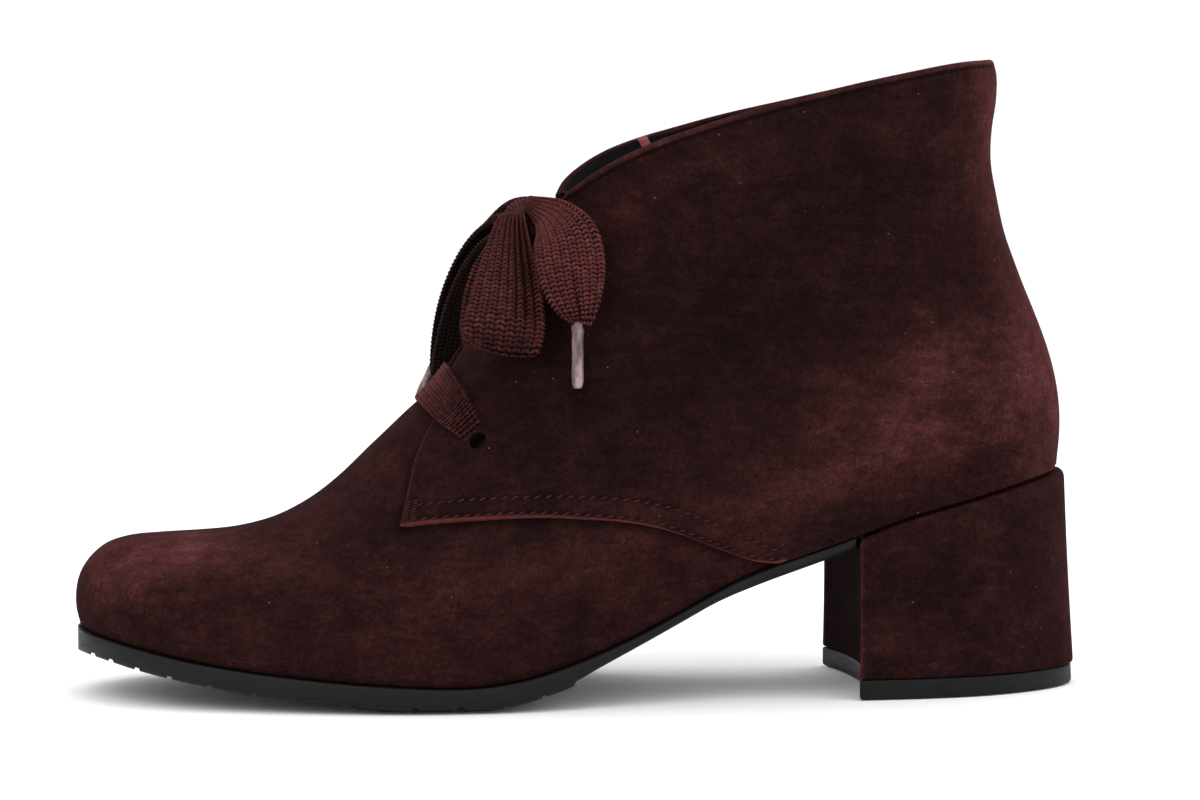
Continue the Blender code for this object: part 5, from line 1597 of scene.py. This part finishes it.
def lace_tone(v):
    """Painted light on the lace: the near end is lighter where it faces the light, and the fold of the near loop is
    darker as painted shade; the yarn inside the eyelets gets painted shade, and the lower bar is a little lighter.
    """
    x, y, z = v[:, 0], v[:, 1], v[:, 2]
    near = ease((-y - 4.0) / 8.0)
    hole_shade = np.zeros(len(v))   # painted shade inside the punched holes
    for label in EYELETS:
        for side in ("lat", "med"):
            p, n = eyelet_frame(label, side)
            deep = (v - p) @ n
            beside = np.linalg.norm(v - p - deep[:, None] * n, axis=1)
            hole_shade += 0.8 * ease((0.5 - deep) / 0.8) * (beside < 3.4)
    return -hole_shade + near * (0.13 * ease((x + 13.5) / 4.0) - 0.12 * ease((94.0 - z) / 8.0) * ease((-12.0 - x) / 3.0)) + 0.09 * ease((96.0 - z) / 4.0) * (x < -32.0) * (np.abs(y) < 34.0)


def add_braid(name, ribbon, nodes, shaded=False, **options):
    """One mesh of core and plait: outer yarn, the core darkened as painted shade, and, when shaded, the yarn of the
    faces turned to the boot in painted shade.
    """
    (cv, cf), (lv, lf), turned, limb_tone_and_shade = braid(ribbon, **options)
    off = len(cv)
    faces = cf + [[i + off for i in f] for f in lf]
    v = np.vstack([cv, lv])
    tone = lace_tone(v)
    tone[: len(cv)] = 0.0
    tone[len(cv):] += limb_tone_and_shade
    ob = add_piece(name, v, faces, "lace", nodes, {"tone": tone}, welded=False)
    ob.data.materials.append(MATERIALS["lace_core_painted_shade"])
    ob.data.materials.append(MATERIALS["lace_painted_shade"])
    index = np.zeros(len(ob.data.polygons), np.int32)
    index[: len(cf)] = 1
    # painted shade: the yarn of the faces turned to the boot takes the darker material
    if shaded:
        index[len(cf):][turned < -0.35] = 2
    ob.data.polygons.foreach_set("material_index", index)
    return ob


def eyelet_run(label, side, rows):
    """Points over a facing from its eyelet: share of the way to the middle, shift along the ridge, lift, width."""
    ridge_x, apart = EYELETS[label]
    s0 = front_at(ridge_x)
    p0, n0 = eyelet_frame(label, side)
    out = []
    for share, shift, lift, width in rows:
        y = apart * (1.0 - share)
        s = s0 + shift
        p = on_ridge(side, s, max(y, 0.02))
        if y > 2.0:
            n = outward(side, p[0], p[2])
        else:
            t = ridge_tangent(s)
            n = np.array([-t[1], 0.0, t[0]])
        t = ridge_tangent(s)
        out.append((*(p + n * lift), width, t[0], 0.0, t[1]))
    return out


def smooth_route(rows, step=0.8):
    r = dense(rows, step)
    return r[:, :3], r[:, 3], r[:, 4:7]


def bar_route():
    rows = [  # share of the way to the middle, shift along the ridge, lift, width
        (0.030, 0.3, -4.2, 3.6), (0.040, 0.4, -2.2, 4.2), (0.060, 0.5, -0.4, 5.2), (0.095, 0.8, 0.9, 6.4), (0.15, 1.1, 1.35, 7.6),
        (0.30, 1.7, 1.3, 9.6), (0.55, 2.4, 0.8, 10.8), (0.80, 2.7, 0.3, 11.2),
    ]
    lat, med = eyelet_run("lower", "lat", rows), eyelet_run("lower", "med", rows)
    mid = eyelet_run("lower", "lat", [(1.0, 2.7, 0.0, 11.2)])
    return smooth_route(lat + mid + med[::-1])


c, w, a = bar_route()
add_braid("lace_lower", Ribbon(c, w, a, cup=0.03), ["lace_lower_bar"], columns=6)


GATHER = (0.88, 0.80, 0.88, 0.97)   # share of the width of the ends next to the knot


def strand_route(side, loop, end):
    rows = [
        (0.0, -0.2, -3.0, 3.6), (0.0, 0.0, -0.8, 4.0), (0.05, 0.2, 1.2, 4.6), (0.2, 0.8, 1.9, 5.6), (0.42, 2.0, 2.2, 6.0), (0.62, 3.6, 3.0, 6.0),
    ]
    start = eyelet_run("upper", side, rows)
    k = sign_of(side)
    knot_in = [(-13.6, CENTRE_Y + k * 2.6, 113.6, 5.6, 1.0, 0.0, 0.3)]
    bow = [(x, y, z, width, 1.0, 0.0, lean) for x, y, z, width, lean in loop]
    turn = end[0][4]
    knot_out = [(-12.6, CENTRE_Y + k * 2.0, 115.4, 5.6, 1.0, 0.0, 0.3 * turn), (-11.6, CENTRE_Y + k * 4.4, 118.0, 5.4, 1.0, 0.0, 0.7 * turn)]
    gather = GATHER + (1.0,) * len(end)
    tail = [(x, y, z, width * share, 1.0, 0.0, lean) for (x, y, z, width, lean), share in zip(end, gather)]
    return smooth_route(start + knot_in + bow + knot_out + tail)


def build_tip(name, rows, node):
    first, second = np.array(rows[0]), np.array(rows[1])
    rows = [tuple(first + unit(first - second) * 2.2)] + rows   # the lace's end goes up into the sheath
    curve = dense(rows, 0.35)
    s = run_length(curve)
    t = unit(np.gradient(curve, axis=0))
    a = unit(np.cross(t, np.array([0.0, 1.0, 0.0])))
    b = np.cross(t, a)
    profile = column([(0.0, 1.15), (0.4, 1.42), (1.2, 1.5), (4.0, 1.40), (9.0, 1.34), (s[-1] - 0.9, 1.30), (s[-1] - 0.3, 1.16), (s[-1], 0.85)], 0, 1)
    angle = np.linspace(0, 2 * math.pi, 29)[:-1]
    rings = []
    for i, p in enumerate(curve):
        r = float(profile(s[i]))
        # a lapped seam runs down the sheath
        r_a = r * (1.0 + 0.07 * np.exp(-(((angle - 4.4) / 0.25) ** 2)))
        rings.append(p + (np.cos(angle) * r_a)[:, None] * a[i] + (np.sin(angle) * r_a * 0.86)[:, None] * b[i])
    p = np.array(rings)
    faces = grid_faces(p.shape[0], p.shape[1], 0, close=True).tolist()
    faces.append(list(range(p.shape[1])))
    faces.append(list(range((p.shape[0] - 1) * p.shape[1], p.shape[0] * p.shape[1]))[::-1])
    return add_piece(name, p.reshape(-1, 3), faces, "tip", [node])


for side, word, loop, end, tip_rows in (
    ("lat", "lateral", LOOP_LATERAL, END_LATERAL, TIP_LATERAL), ("med", "medial", LOOP_MEDIAL, END_MEDIAL, TIP_MEDIAL),
):
    c, w, a = strand_route(side, loop, end)
    ribbon = Ribbon(c, w, a, cup=-sign_of(side) * 0.09)
    if side == "lat":   # the near loop is gathered towards the heel
        knot = int(np.argmin(np.linalg.norm(ribbon.c - np.array([-13.6, CENTRE_Y - 2.6, 113.6]), axis=1)[: len(ribbon.s) // 2]))
        low = knot + int(np.argmin(ribbon.c[knot:knot + 160, 2]))
        top_s, low_s = ribbon.s[knot] + 8.0, ribbon.s[low] - 3.0
        ribbon.pleats = [
            (top_s, low_s - 6.0, 0.0, 0.06, 0.7), (top_s, low_s, 0.25, 0.07, 1.3), (top_s, low_s, 0.50, 0.08, 2.0),
            (top_s, low_s, 0.75, 0.07, 1.6), (top_s, low_s - 6.0, -0.25, 0.06, 0.5), (ribbon.length - 17.0, ribbon.length + 9.0, 0.03, 0.06, 0.8),
        ]
    nodes = ["lace_loop_" + word, "lace_end_" + word] + (["lace_upper_bar"] if side == "lat" else [])
    strand = add_braid("lace_strand_" + word, ribbon, nodes, shaded=side == "med")
    tip = build_tip("lace_sheath_" + word, tip_rows, "lace_tip_" + word)
    path = ribbon.c.copy()
    path[:, 0] += CENTRE_X
    path *= MM


def build_knot():
    turn = np.linspace(0.15, 2 * math.pi + 0.15, 60)
    c = np.stack([
        KNOT_CENTRE[0] + (KNOT_HALF[0] - 2.9) * np.cos(turn), KNOT_CENTRE[1] - 1.3 + 0.5 * np.sin(turn * 0.5),
        KNOT_CENTRE[2] + (KNOT_HALF[2] - 2.6) * np.sin(turn),
    ], axis=1)
    a = np.repeat(np.array([[0.12, 1.0, 0.0]]), len(c), axis=0)
    ribbon = Ribbon(c, np.full(len(c), 13.6), a, cup=-0.25)
    return add_braid("lace_knot_wrap", ribbon, ["lace_knot"], columns=6, pitch=0.50, fuller=2.0)


build_knot()

# ------------------------------------------------------------------ floor, light, camera
FLOOR_NEAR, FLOOR_FAR, SWEEP = -2.4, 2.2, 1.2


def build_floor():
    profile = [(FLOOR_NEAR, 0.0), (0.0, 0.0), (FLOOR_FAR, 0.0)]
    for a in np.linspace(0.1, math.pi / 2, 14):
        profile.append((FLOOR_FAR + SWEEP * math.sin(a), SWEEP * (1 - math.cos(a))))
    profile.append((FLOOR_FAR + SWEEP, 4.0))
    verts, faces = [], []
    for y, z in profile:
        verts += [(-4.0, y, z - 0.0002), (4.0, y, z - 0.0002)]
    for i in range(len(profile) - 1):
        faces.append([2 * i, 2 * i + 1, 2 * i + 3, 2 * i + 2])
    me = bpy.data.meshes.new("floor")
    me.from_pydata(verts, [], faces)
    me.polygons.foreach_set("use_smooth", [True] * len(me.polygons))
    ob = bpy.data.objects.new("floor", me)
    bpy.context.scene.collection.objects.link(ob)
    k = Nodes("floor")
    soft = k.noise(0.004, 2.0)
    k.link(k.ramp(soft, [(0.3, (250, 250, 250)), (0.7, (253, 253, 253))]), k.shader.inputs["Base Color"])
    k.set(Roughness=0.9, Specular_IOR_Level=0.1)
    me.materials.append(MATERIALS["floor"])


build_floor()

world = bpy.data.worlds.new("studio")
bpy.context.scene.world = world
world.use_nodes = True
world.node_tree.nodes["Background"].inputs["Color"].default_value = (1.0, 1.0, 1.0, 1.0)
world.node_tree.nodes["Background"].inputs["Strength"].default_value = 1.08


def softbox(name, at, look, size, power):
    data = bpy.data.lights.new(name, "AREA")
    data.shape = "RECTANGLE"
    data.size, data.size_y = size
    data.energy = power
    ob = bpy.data.objects.new(name, data)
    bpy.context.scene.collection.objects.link(ob)
    ob.location = at
    ob.rotation_euler = (Vector(look) - Vector(at)).to_track_quat("-Z", "Y").to_euler()


softbox("key", (-0.55, -0.75, 0.95), (0.0, 0.0, 0.06), (0.9, 0.9), 4.0)
softbox("top", (0.15, 0.10, 1.30), (0.0, 0.0, 0.05), (1.2, 0.9), 7.0)
softbox("side", (0.95, -0.50, 0.55), (0.02, 0.0, 0.07), (0.7, 0.9), 1.5)

camera = bpy.data.cameras.new("camera")
camera.sensor_width = 36.0
camera.lens = 111.84
camera.clip_start, camera.clip_end = 0.05, 20.0
cam = bpy.data.objects.new("camera", camera)
bpy.context.scene.collection.objects.link(cam)
turn, pitch = math.radians(-5.45), math.radians(4.31)
r = Vector((math.cos(turn), math.sin(turn), 0.0))
b = Vector((math.sin(turn) * math.cos(pitch), -math.cos(turn) * math.cos(pitch), math.sin(pitch)))
u = b.cross(r)
m = Matrix((r, u, b)).transposed().to_4x4()
m.translation = Vector((-0.0817, -0.908, 0.1397))
cam.matrix_world = m
bpy.context.scene.camera = cam
bpy.context.scene.view_settings.view_transform = "Standard"

bpy.context.view_layer.update()
